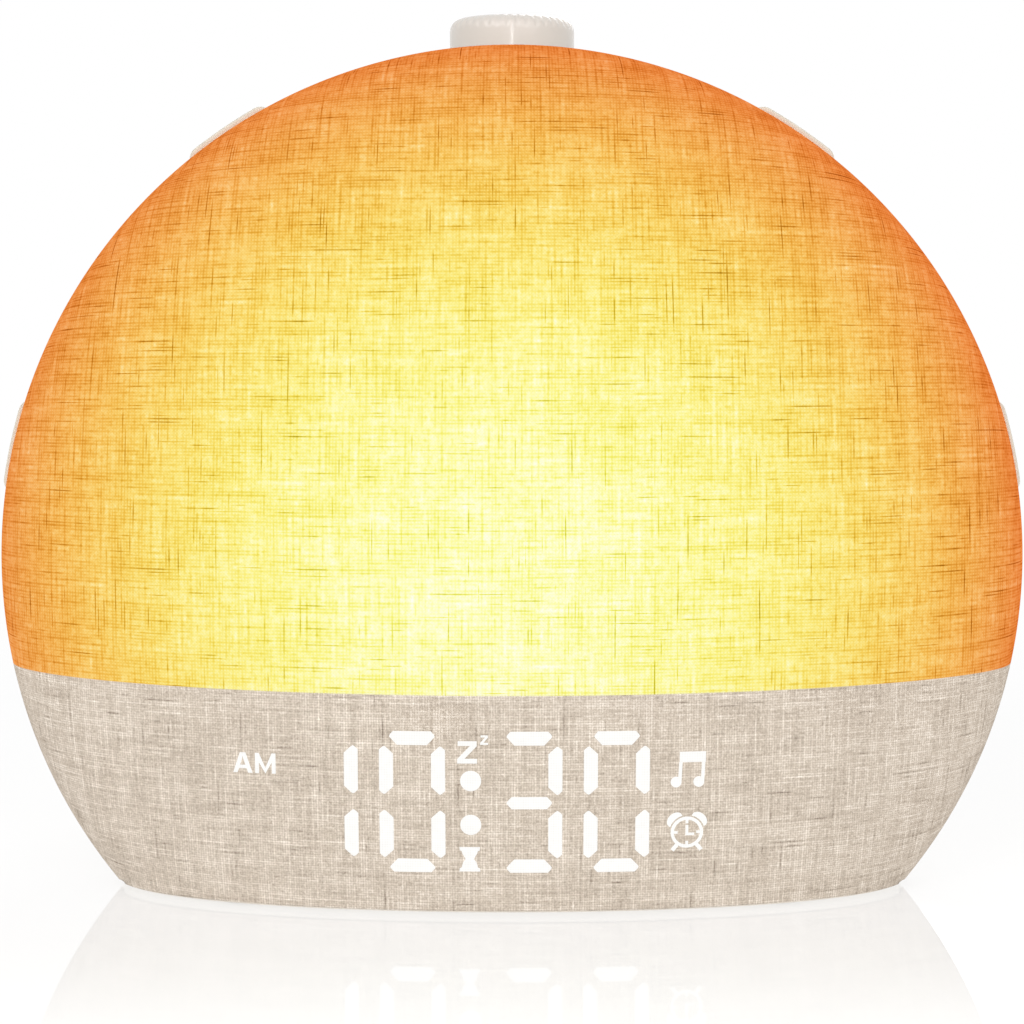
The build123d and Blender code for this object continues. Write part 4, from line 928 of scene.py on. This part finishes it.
def stroke(start: np.ndarray, end: np.ndarray, width: float, count: int) -> Patch:
    """A straight stroke with square ends: a line from start to end, moved to both sides.

    Args:
        start: Where its middle line starts.
        end: Where its middle line ends.
        width: Its whole width.
        count: Number of points along it.

    Returns:
        Points (station, side, 2).
    """
    direction = (end - start) / np.hypot(*(end - start))
    side = np.array([-direction[1], direction[0]]) * width / 2
    line = start + (end - start) * np.linspace(0, 1, count)[:, None]
    return np.stack([line - side, line + side], axis=1)


@dataclass(frozen=True)
class Figures:
    """The time and its signs, as light on the linen, in millimetres of the front view.

    Heights are measured from a base line just above the floor.
    """

    dome: DomeShape
    base: float = 0.75
    time: tuple[int, ...] = (1, 0, 3, 0)
    centres: tuple[float, ...] = (-31.15, -16.6, 2.87, 17.42)
    middle: float = 19.5
    half_width: float = 4.33
    half_height: float = 11.05
    bar_half_length: float = 4.15
    flat_half_length: float = 3.80
    bar_width: float = 2.35
    middle_width: float = 2.11
    tip_shift: float = 0.35
    tip_slope: float = 0.95
    tip_round: float = 0.14
    colon: tuple[float, float, float] = (-6.865, 3.8, 1.75)
    letters: tuple[float, float] = (23.85, 27.35)
    proud: float = 0.03
    thickness: float = 0.06

    def bar(self, figure_x: float, bar: Bar) -> Patch:
        """One bar with cut, slightly rounded ends whose tips lie towards the figure's outside.

        Its half length at a place v across is the full half length less the slope times the smooth
        distance sqrt((v - tip) ** 2 + round ** 2) - round.

        Args:
            figure_x: The figure's middle.
            bar: Which of its bars.

        Returns:
            The bar's patch.
        """
        column, row, flat = bar.value
        half = (self.middle_width if bar is Bar.MIDDLE else self.bar_width) / 2
        across = np.linspace(-half, half, 9)
        tip = self.tip_shift * (row if flat else column)
        cut = self.tip_slope * (np.hypot(across - tip, self.tip_round) - self.tip_round)
        reach = (self.flat_half_length if flat else self.bar_half_length) - cut
        x, z = figure_x + column * self.half_width, self.middle + row * self.half_height
        if flat:
            return tower(z + across, x - reach, x + reach, 9)
        return strip(x + across, z - reach, z + reach, 9)

    def figures(self) -> list[Patch]:
        """Every lit bar of the time, and the colon.

        Returns:
            Their patches.
        """
        patches = [self.bar(x, bar) for x, number in zip(self.centres, self.time)
                   for bar in FIGURE_BARS[number]]
        x, half_gap, radius = self.colon
        return patches + [disc(x, self.middle + side * half_gap, radius) for side in (-1, 1)]

    def letter_a(self) -> list[Patch]:
        """A letter A: two straight slanted legs, cut flat at top and bottom, and a bar between them.

        Returns:
            Its patches.
        """
        left, right, half_top, wide, bar = -46.75, -43.45, 0.48, 0.74, (0.75, 1.35)
        low, high = self.letters
        both = left + right
        heights = np.linspace(low, high, 8)
        outer = np.linspace(left, both / 2 - half_top, 8)
        inner = np.minimum(outer + wide, both / 2)
        bar_heights = low + np.array(bar)
        bar_inner = np.interp(bar_heights, heights, inner)
        return [tower(heights, outer, inner),
                tower(heights, both - inner, both - outer),
                tower(bar_heights, bar_inner, both - bar_inner)]

    def letter_m(self) -> list[Patch]:
        """A letter M: two upright legs, and two slanted strokes that meet in the middle.

        Returns:
            Its patches.
        """
        left, right, wide, dip, foot = -43.0, -39.5, 0.66, 0.95, 1.6
        low, high = self.letters
        both = left + right
        fall, drop = np.linspace(left + wide, both / 2, 6), np.linspace(0, 1, 6)
        top = high - drop * (high - low - dip)
        under = np.maximum(high - foot - drop * (high - low - foot), low)
        return [block(left, left + wide, low, high), block(right - wide, right, low, high),
                strip(fall, under, top), strip(both - fall[::-1], under[::-1], top[::-1])]

    def sleep_letter(self, left: float, right: float, low: float, high: float, wide: float) -> list[Patch]:
        """A letter Z: two flat bars and a diagonal between them.

        Args:
            left: Its left edge.
            right: Its right edge.
            low: Its foot.
            high: Its top.
            wide: Width of the bars.

        Returns:
            Its patches.
        """
        across = 1.45 * wide
        diagonal = np.linspace(left + 0.05, right - across, 4)
        return [block(left, right, low, low + wide), block(left + 0.1, right - 0.05, high - wide, high),
                tower(np.linspace(low + wide, high - wide, 4), diagonal, diagonal + across)]

    def hourglass(self) -> list[Patch]:
        """An hourglass: half widths at heights from its foot to its top plate.

        Returns:
            Its one patch.
        """
        x, low = -7.05, 7.48
        heights = low + np.array([0.0, 0.55, 0.72, 1.10, 1.62, 2.05, 2.28, 2.62, 3.20, 3.60, 3.74, 4.32])
        halves = np.array([1.75, 1.68, 1.34, 1.28, 1.12, 0.78, 0.74, 0.90, 1.26, 1.34, 1.66, 1.72])
        return [tower(heights, x - halves, x + halves, 5)]

    def melody(self) -> list[Patch]:
        """A pair of joined notes: a thick beam, two stems, and a round head on each stem's left.

        Returns:
            Their patches.
        """
        left, first, last, top, beam = 27.90, 28.48, 32.30, 28.0, 1.8
        stem, lean, head_z, head_radius, overlap = 0.58, 0.25, 22.8, 0.92, 0.02
        patches = [block(left, last, top - beam, top, 3)]
        heights = np.linspace(head_z, top - beam, 5)
        slide = lean * (top - heights) / (top - head_z)
        turn = np.linspace(overlap - np.pi / 2, np.pi / 2 - overlap, 21)
        rows, chord = head_z + head_radius * np.sin(turn), head_radius * np.cos(turn)
        for right in (first, last):
            centre = right - lean - head_radius + overlap
            edge = np.where(rows > head_z, np.minimum(centre + chord, right - stem - lean), centre + chord)
            patches += [tower(heights, right - stem - slide, right - slide),
                        tower(rows, centre - chord, edge, 5)]
        return patches

    def alarm(self) -> list[Patch]:
        """A twin-bell clock: ring, four marks, two hands, two feet and two bells.

        A bell is a fan of rays from the centre, whose length past the ring rises as half a circle.

        Returns:
            Its patches.
        """
        centre, inner, outer = np.array([29.26, 14.0]), 2.18, 2.74
        bell_half, bell_gap, bell_rise, bell_edge = 28, 0.26, 1.08, 0.05
        marks = [(np.array(way) * (inner + 0.02), np.array(way) * (inner - 0.62), 0.46, 3)
                 for way in ((1, 0), (0, 1), (-1, 0), (0, -1))]
        hands = [((0, -0.55), (0, 1.25), 0.48, 4), ((0.24, -0.33), (1.25, -0.33), 0.44, 3)]
        feet = [((side * 1.66, -2.18), (side * 2.45, -3.15), 0.68, 4) for side in (-1, 1)]
        patches = [hoop(*centre, inner, outer)]
        patches += [stroke(centre + start, centre + end, width, count)
                    for start, end, width, count in marks + hands + feet]
        for angle in (47, 133):
            spread = np.radians(np.linspace(angle - bell_half, angle + bell_half, 21))
            bulge = bell_edge + bell_rise * np.sqrt(1 - np.linspace(-1, 1, 21) ** 2)
            radius = outer + bell_gap + bulge[:, None] * np.linspace(0, 1, 4)
            way = np.stack([np.cos(spread), np.sin(spread)], axis=-1)
            patches.append(centre + way[:, None, :] * radius[:, :, None])
        return patches

    def build(self, name: str, patches: Sequence[Patch]) -> bpy.types.Object:
        """Lays flat patches on the linen: each point keeps its X and Z and takes the dome's Y.

        Args:
            name: The new piece's name.
            patches: Flat patches in millimetres of the front view.

        Returns:
            The piece, a thin shell that stands just proud of the cloth.
        """
        points, faces, count = [], [], 0
        for patch in patches:
            along, across = np.diff(patch, axis=0)[:, :-1], np.diff(patch, axis=1)[:-1]
            turn = np.sum(along[..., 0] * across[..., 1] - along[..., 1] * across[..., 0])
            x, z = np.moveaxis(patch if turn > 0 else patch[::-1], -1, 0) * MM
            z = z + self.base * MM
            y = self.dome.depth(x, z) - self.proud * MM
            points.append(np.stack([x, y, z], axis=-1).reshape(-1, 3))
            faces.append(grid_faces(*x.shape) + count)
            count += x.size
        piece = make_object(name, np.concatenate(points), faces)
        add_wall(piece, self.thickness * MM, 1.0)
        return piece

    def dress(self, pieces: Sequence[bpy.types.Object]) -> None:
        """Gives every figure its light and sets it on the case.

        Args:
            pieces: The figures and signs.
        """
        finish = WovenLight().material("woven_light")
        for piece in pieces:
            piece.data.materials.append(finish)
            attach(piece, "case")

    def build_all(self) -> list[bpy.types.Object]:
        """Builds the time and all its signs.

        Returns:
            The pieces.
        """
        sleep = self.sleep_letter(-9.1, -5.8, 26.3, 30.1, 0.80)
        small = self.sleep_letter(-5.3, -3.95, 29.5, 31.1, 0.34)
        signs = {"lit_time": self.figures(), "lit_meridiem": self.letter_a() + self.letter_m(),
                 "lit_sleep": sleep + small, "lit_hourglass": self.hourglass(),
                 "lit_melody": self.melody(), "lit_alarm": self.alarm()}
        return [self.build(name, patches) for name, patches in signs.items()]


# ------------------------------------------------------------------------------ volume knob
@dataclass(frozen=True)
class Knob:
    """The volume knob: a glossy drum with a ribbed shoulder, hollow under its cap."""

    ribs: int = 40
    steps_per_rib: int = 12
    shoulder_height: float = 2.8
    shoulder_width: float = 3.4
    shoulder_fall: float = 0.6
    shoulder_power: float = 0.8
    rib_depth: float = 0.21
    rib_ease: float = 0.6
    pole: float = 0.4
    edge: float = 0.3
    dish: float = 0.25
    skirt: float = 1.8
    cap: float = 2.25
    bore_end: float = 1.7
    hub_radius: float = 5.2
    bore_radius: float = 3.08
    hub_gap: float = 3.45

    def profile(self, radius: float, low: float, high: float) -> tuple[np.ndarray, np.ndarray]:
        """Half section in millimetres, from the middle of the top over the outside to the bore.

        The top dips by dish * (1 - share of the rim's radius squared), and the shoulder is a
        quarter of a superellipse.

        Args:
            radius: Outer radius.
            low: Height of the skirt's edge.
            high: Height of the top.

        Returns:
            Points (radius, height), and the share of the rib's depth at each.
        """
        rim, wall = radius - self.shoulder_width, radius - self.skirt
        across = np.linspace(self.pole, rim, 14)
        top = np.stack([across, high - self.dish * (1 - (across / rim) ** 2)], axis=-1)
        turn = np.radians(np.linspace(90, 0, 22))
        out, up = np.cos(turn) ** self.shoulder_power, np.sin(turn) ** self.shoulder_power
        shoulder = np.stack([rim + self.shoulder_width * out, high - self.shoulder_height * (1 - up)], -1)
        side = np.array([[radius, high - self.shoulder_height - self.shoulder_fall]])
        edge = arc((radius - self.edge, low + self.edge), self.edge, 0, -90, 5)
        under, hub_low, bore_high = high - self.cap, low + self.hub_gap, high - self.bore_end
        inside = np.array([[wall, low], [wall, under], [self.hub_radius, under],
                           [self.hub_radius, hub_low], [self.bore_radius, hub_low],
                           [self.bore_radius, bore_high], [self.pole, bore_high]])
        points = np.concatenate([top, shoulder[1:], side, edge, inside])
        share = np.zeros(len(points))
        ribbed = slice(len(top) + 1, len(top) + len(shoulder) - 2)
        share[ribbed] = np.sin(np.linspace(0, np.pi, len(shoulder) - 3)) ** self.rib_ease
        return points, share

    def build(self) -> bpy.types.Object:
        """Turns the profile about the knob's axis and presses the ribs into its shoulder.

        A point at azimuth a moves in by depth * share * ((1 - cos(ribs * a)) / 2) ** 2.

        Returns:
            The knob.
        """
        low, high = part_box("volume_knob")
        points, share = self.profile((high.x - low.x) / 2 / MM, low.z / MM, high.z / MM)
        azimuth = np.linspace(0, 2 * np.pi, self.ribs * self.steps_per_rib, endpoint=False)[:, None]
        drawn = points[:, 0] - self.rib_depth * ((1 - np.cos(self.ribs * azimuth)) / 2) ** 2 * share
        height = np.broadcast_to(points[:, 1], drawn.shape)
        world = np.stack([drawn * np.sin(azimuth), drawn * np.cos(azimuth), height], axis=-1)
        poles = np.array([[0, 0, points[0, 1]], [0, 0, points[-1, 1]]])
        every = np.concatenate([world.reshape(-1, 3), poles]) * MM
        every[:, 1] += (low.y + high.y) / 2
        numbers = np.arange(drawn.size).reshape(drawn.shape)
        faces = [grid_faces(*drawn.shape, close_rows=True), fan_faces(numbers[:, 0], drawn.size),
                 fan_faces(numbers[:, -1], drawn.size + 1)[:, ::-1]]
        return make_object("ribbed_knob", every, faces)

    def dress(self, knob: bpy.types.Object) -> None:
        """Gives the knob its glossy cream and sets it on the turning body.

        Args:
            knob: The knob that build made.
        """
        finish = MouldedPlastic(paint(208, 201, 193), Grain.POLISHED, 0.35, 0.04, 0.02, coat=0.6)
        knob.data.materials.append(finish.material("cream_gloss"))
        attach(knob, "knob")
        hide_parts("volume_knob")


# ------------------------------------------------------------------------------ CAD nodes and finishes
def dress_nodes(nodes: dict[str, bpy.types.Object],
                finishes: dict[str, tuple[Finish, tuple[str, ...]]]) -> None:
    """Puts a material in the only slot of each named CAD node and reports it.

    Args:
        nodes: The CAD model's objects by name.
        finishes: For each material's name, its finish and the nodes that wear it.
    """
    for title, (finish, names) in finishes.items():
        material = finish.material(title)
        for name in names:
            mesh = nodes[name].data
            mesh.materials.clear()
            mesh.materials.append(material)
            log.info("%s: %s", name, title)


@dataclass(frozen=True)
class Housing:
    """Case, back cover, base and keys: the clock's cream mouldings, rubber feet and outer screws."""

    nodes: dict[str, bpy.types.Object]

    def dress(self) -> None:
        """Gives each outer node its finish, by the name of its material."""
        keys = tuple(name for name in self.nodes if name.startswith(("key_upper", "key_lower")))
        dress_nodes(self.nodes, {
            "cream_shell": (MouldedPlastic(paint(232, 225, 214), Grain.SPARK, 0.46, 0.08, 0.03),
                            ("body_shell", "rear_cover", "base_plate")),
            "cream_keys": (MouldedPlastic(paint(216, 207, 192), Grain.POLISHED, 0.5, 0.03, 0.02, 0.1), keys),
            "foot_rubber": (Elastomer(paint(92, 90, 88), 0.5, 0.03), ("rubber_feet",)),
            "screw_steel": (BareMetal(paint(120, 120, 124), 0.34), ("rear_screws", "base_screws")),
        })


@dataclass(frozen=True)
class Works:
    """Everything inside the case."""

    nodes: dict[str, bpy.types.Object]

    def dress(self) -> None:
        """Gives each inner node its finish, by the name of its material."""
        dress_nodes(self.nodes, {
            "white_plastic": (MouldedPlastic(paint(238, 238, 235), Grain.SATIN, 0.5),
                              ("reflector_tray", "display_block")),
            "grey_plastic": (MouldedPlastic(paint(120, 121, 124), Grain.SPARK, 0.5),
                             ("front_frame", "encoder_plunger")),
            "black_plastic": (MouldedPlastic(paint(34, 34, 36), Grain.FINE, 0.45),
                              ("light_baffle", "encoder_body", "usb_tongue", "board_chips", "coin_holder",
                               "plunger_upper_left", "plunger_upper_right", "plunger_lower_left",
                               "plunger_lower_right", "key_switches", "speaker_basket")),
            "opal_plastic": (MouldedPlastic(paint(244, 242, 236), Grain.FINE, 0.4, see_through=0.4),
                             ("diffuser_dome",)),
            "panel_plastic": (MouldedPlastic(paint(214, 206, 194), Grain.FINE, 0.5), ("display_panel",)),
            "lens_plastic": (MouldedPlastic(paint(236, 238, 240), Grain.SATIN, 0.3, see_through=0.5),
                             ("digit_lenses", "icon_lenses")),
            "socket_plastic": (MouldedPlastic(paint(230, 222, 200), Grain.SATIN, 0.4), ("board_sockets",)),
            "led_package": (MouldedPlastic(paint(247, 232, 150), Grain.POLISHED, 0.25),
                            ("display_leds", "sun_leds")),
            "lead_sheath": (MouldedPlastic(paint(70, 70, 72), Grain.SATIN, 0.4),
                            ("speaker_lead", "led_lead", "display_lead", "encoder_lead", "key_leads")),
            "magnet": (MouldedPlastic(paint(62, 62, 64), Grain.SPARK, 0.6), ("speaker_magnet",)),
            "foam": (Elastomer(paint(58, 58, 60), 0.9, 0.25, 0.9), ("baffle_foam", "speaker_gasket")),
            "surround_rubber": (Elastomer(paint(30, 30, 32), 0.4, 0.02, 0.6), ("speaker_surround",)),
            "circuit_board": (PrintedBoard(paint(24, 92, 56)),
                              ("display_board", "led_board", "main_board", "encoder_board")),
            "flex_film": (PrintedBoard(paint(196, 130, 44), 0.9, 0.5, 6.0),
                          ("key_flex_left", "key_flex_right")),
            "steel": (BareMetal(paint(190, 190, 192), 0.25),
                      ("encoder_nut", "knob_shaft", "usb_shell", "coin_cell", "frame_screws",
                       "speaker_screws", "board_screws")),
            "can_aluminium": (BareMetal(paint(205, 206, 208), 0.32), ("capacitors",)),
            "cone_paper": (ConePaper(paint(36, 35, 34)), ("speaker_cone", "speaker_dust_cap")),
        })


# ------------------------------------------------------------------------------ studio
@dataclass(frozen=True)
class Lamp:
    """One soft box: where it stands, its width and height in metres, and its power in watts."""

    name: str
    place: tuple[float, float, float]
    size: tuple[float, float]
    power: float


@dataclass(frozen=True)
class Studio:
    """A white floor and surround, soft boxes, and the camera."""

    aim: tuple[float, float, float] = (0.0, 0.0, 0.07)
    floor_half: float = 6.0
    ambient: float = 0.60
    floor_tone: float = 0.30
    floor_lift: float = 0.79
    floor_roughness: float = 0.03
    mirror: float = 0.27
    mirror_start: tuple[float, float] = (-0.115, -0.045)
    fade: tuple[float, float] = (0.22, 0.55)
    camera_place: tuple[float, float, float] = (0.0, -0.3832, 0.1114)
    camera_pitch: float = 1.51
    lens: float = 73.16
    shift_y: float = -0.198
    lamps: tuple[Lamp, ...] = field(default_factory=lambda: (
        Lamp("key_light", (-0.65, -1.10, 1.00), (0.9, 0.9), 6.6),
        Lamp("fill_light", (0.70, -1.15, 0.75), (0.9, 0.9), 4.0),
        Lamp("strip_light", (0.0, -1.30, 0.55), (0.10, 0.9), 3.2),
        Lamp("back_light", (0.5, 1.30, 0.95), (1.0, 1.0), 5.0)))

    def world(self) -> None:
        """A white surround for camera, mirror and glass, and a softer light on the object."""
        world = bpy.data.worlds.new("studio")
        bpy.context.scene.world = world
        world.use_nodes = True
        graph = Graph(world.node_tree)
        path = graph.node("LightPath").outputs
        seen = path["Is Camera Ray"]
        for other in ("Is Glossy Ray", "Is Transmission Ray"):
            seen = graph.math("MAXIMUM", seen, path[other])
        level = graph.math("MULTIPLY_ADD", seen, 1.0 - self.ambient, self.ambient)
        background = graph.tree.nodes["Background"]
        graph.feed(background.inputs["Color"], (1.0, 1.0, 1.0))
        graph.feed(background.inputs["Strength"], level)

    def floor(self) -> None:
        """A pale polished floor that glows like a light table and keeps the clock's shadow.

        Near the clock it is a blend of a matt layer and a mirror; farther out it fades into plain
        white, so that it meets the white surround without an edge.
        """
        corners = np.array([[-1, -1, 0], [1, -1, 0], [1, 1, 0], [-1, 1, 0]]) * self.floor_half
        floor = make_object("floor", corners, [np.array([[0, 1, 2, 3]])])
        shader = Shader("floor")
        where = shader.place()
        _, y, _ = shader.split(where)
        matt = shader.node("BsdfDiffuse", {"Color": (self.floor_tone,) * 3}).outputs[0]
        glow = shader.node("Emission", {"Strength": self.floor_lift}).outputs[0]
        polish = shader.node("BsdfGlossy", {"Roughness": self.floor_roughness}).outputs[0]
        white = shader.node("Emission", {"Strength": 1.0}).outputs[0]
        front = shader.math("MULTIPLY", shader.step(y, *self.mirror_start), self.mirror)
        near = shader.call("MixShader", front, shader.call("AddShader", matt, glow), polish)
        far = shader.step(shader.length(where), *self.fade)
        shader.finish(shader.call("MixShader", far, near, white))
        floor.data.materials.append(shader.material)

    def light(self, lamp: Lamp) -> None:
        """Hangs one soft box and turns it to the clock.

        Args:
            lamp: The soft box.
        """
        data = bpy.data.lights.new(lamp.name, "AREA")
        data.shape = "RECTANGLE"
        data.size, data.size_y = lamp.size
        data.energy = lamp.power
        made = link_object(lamp.name, data)
        made.location = lamp.place
        way = Vector(self.aim) - Vector(lamp.place)
        made.rotation_euler = way.to_track_quat("-Z", "Y").to_euler()

    def camera(self) -> None:
        """The camera in front of the clock, a little above its middle."""
        data = bpy.data.cameras.new("camera")
        data.lens = self.lens
        data.shift_y = self.shift_y
        data.clip_start = 0.01
        made = link_object("camera", data)
        made.location = self.camera_place
        made.rotation_euler = (math.radians(90 - self.camera_pitch), 0, 0)
        bpy.context.scene.camera = made

    def build(self) -> None:
        """Sets up floor, surround, lamps and camera."""
        self.world()
        self.floor()
        for lamp in self.lamps:
            self.light(lamp)
        self.camera()
        bpy.context.scene.view_settings.view_transform = "Standard"


def main() -> None:
    """Builds the clock's pieces in order, dresses them and sets up the studio."""
    logging.basicConfig(level=logging.INFO, format="%(name)s %(message)s")
    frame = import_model()
    nodes = frame["nodes"]
    dome = DomeShape.from_frame()
    Studio().build()

    cover = LinenCover(dome)
    sheet = cover.build()
    cover.dress(sheet)
    log.info("linen sheet: %d faces", len(sheet.data.polygons))

    figures = Figures(dome)
    pieces = figures.build_all()
    figures.dress(pieces)
    for piece in pieces:
        log.info("%s: %d faces", piece.name, len(piece.data.polygons))

    knob = Knob()
    drum = knob.build()
    knob.dress(drum)
    log.info("knob: %d faces", len(drum.data.polygons))

    Housing(nodes).dress()
    Works(nodes).dress()


if __name__ == "__main__":
    main()
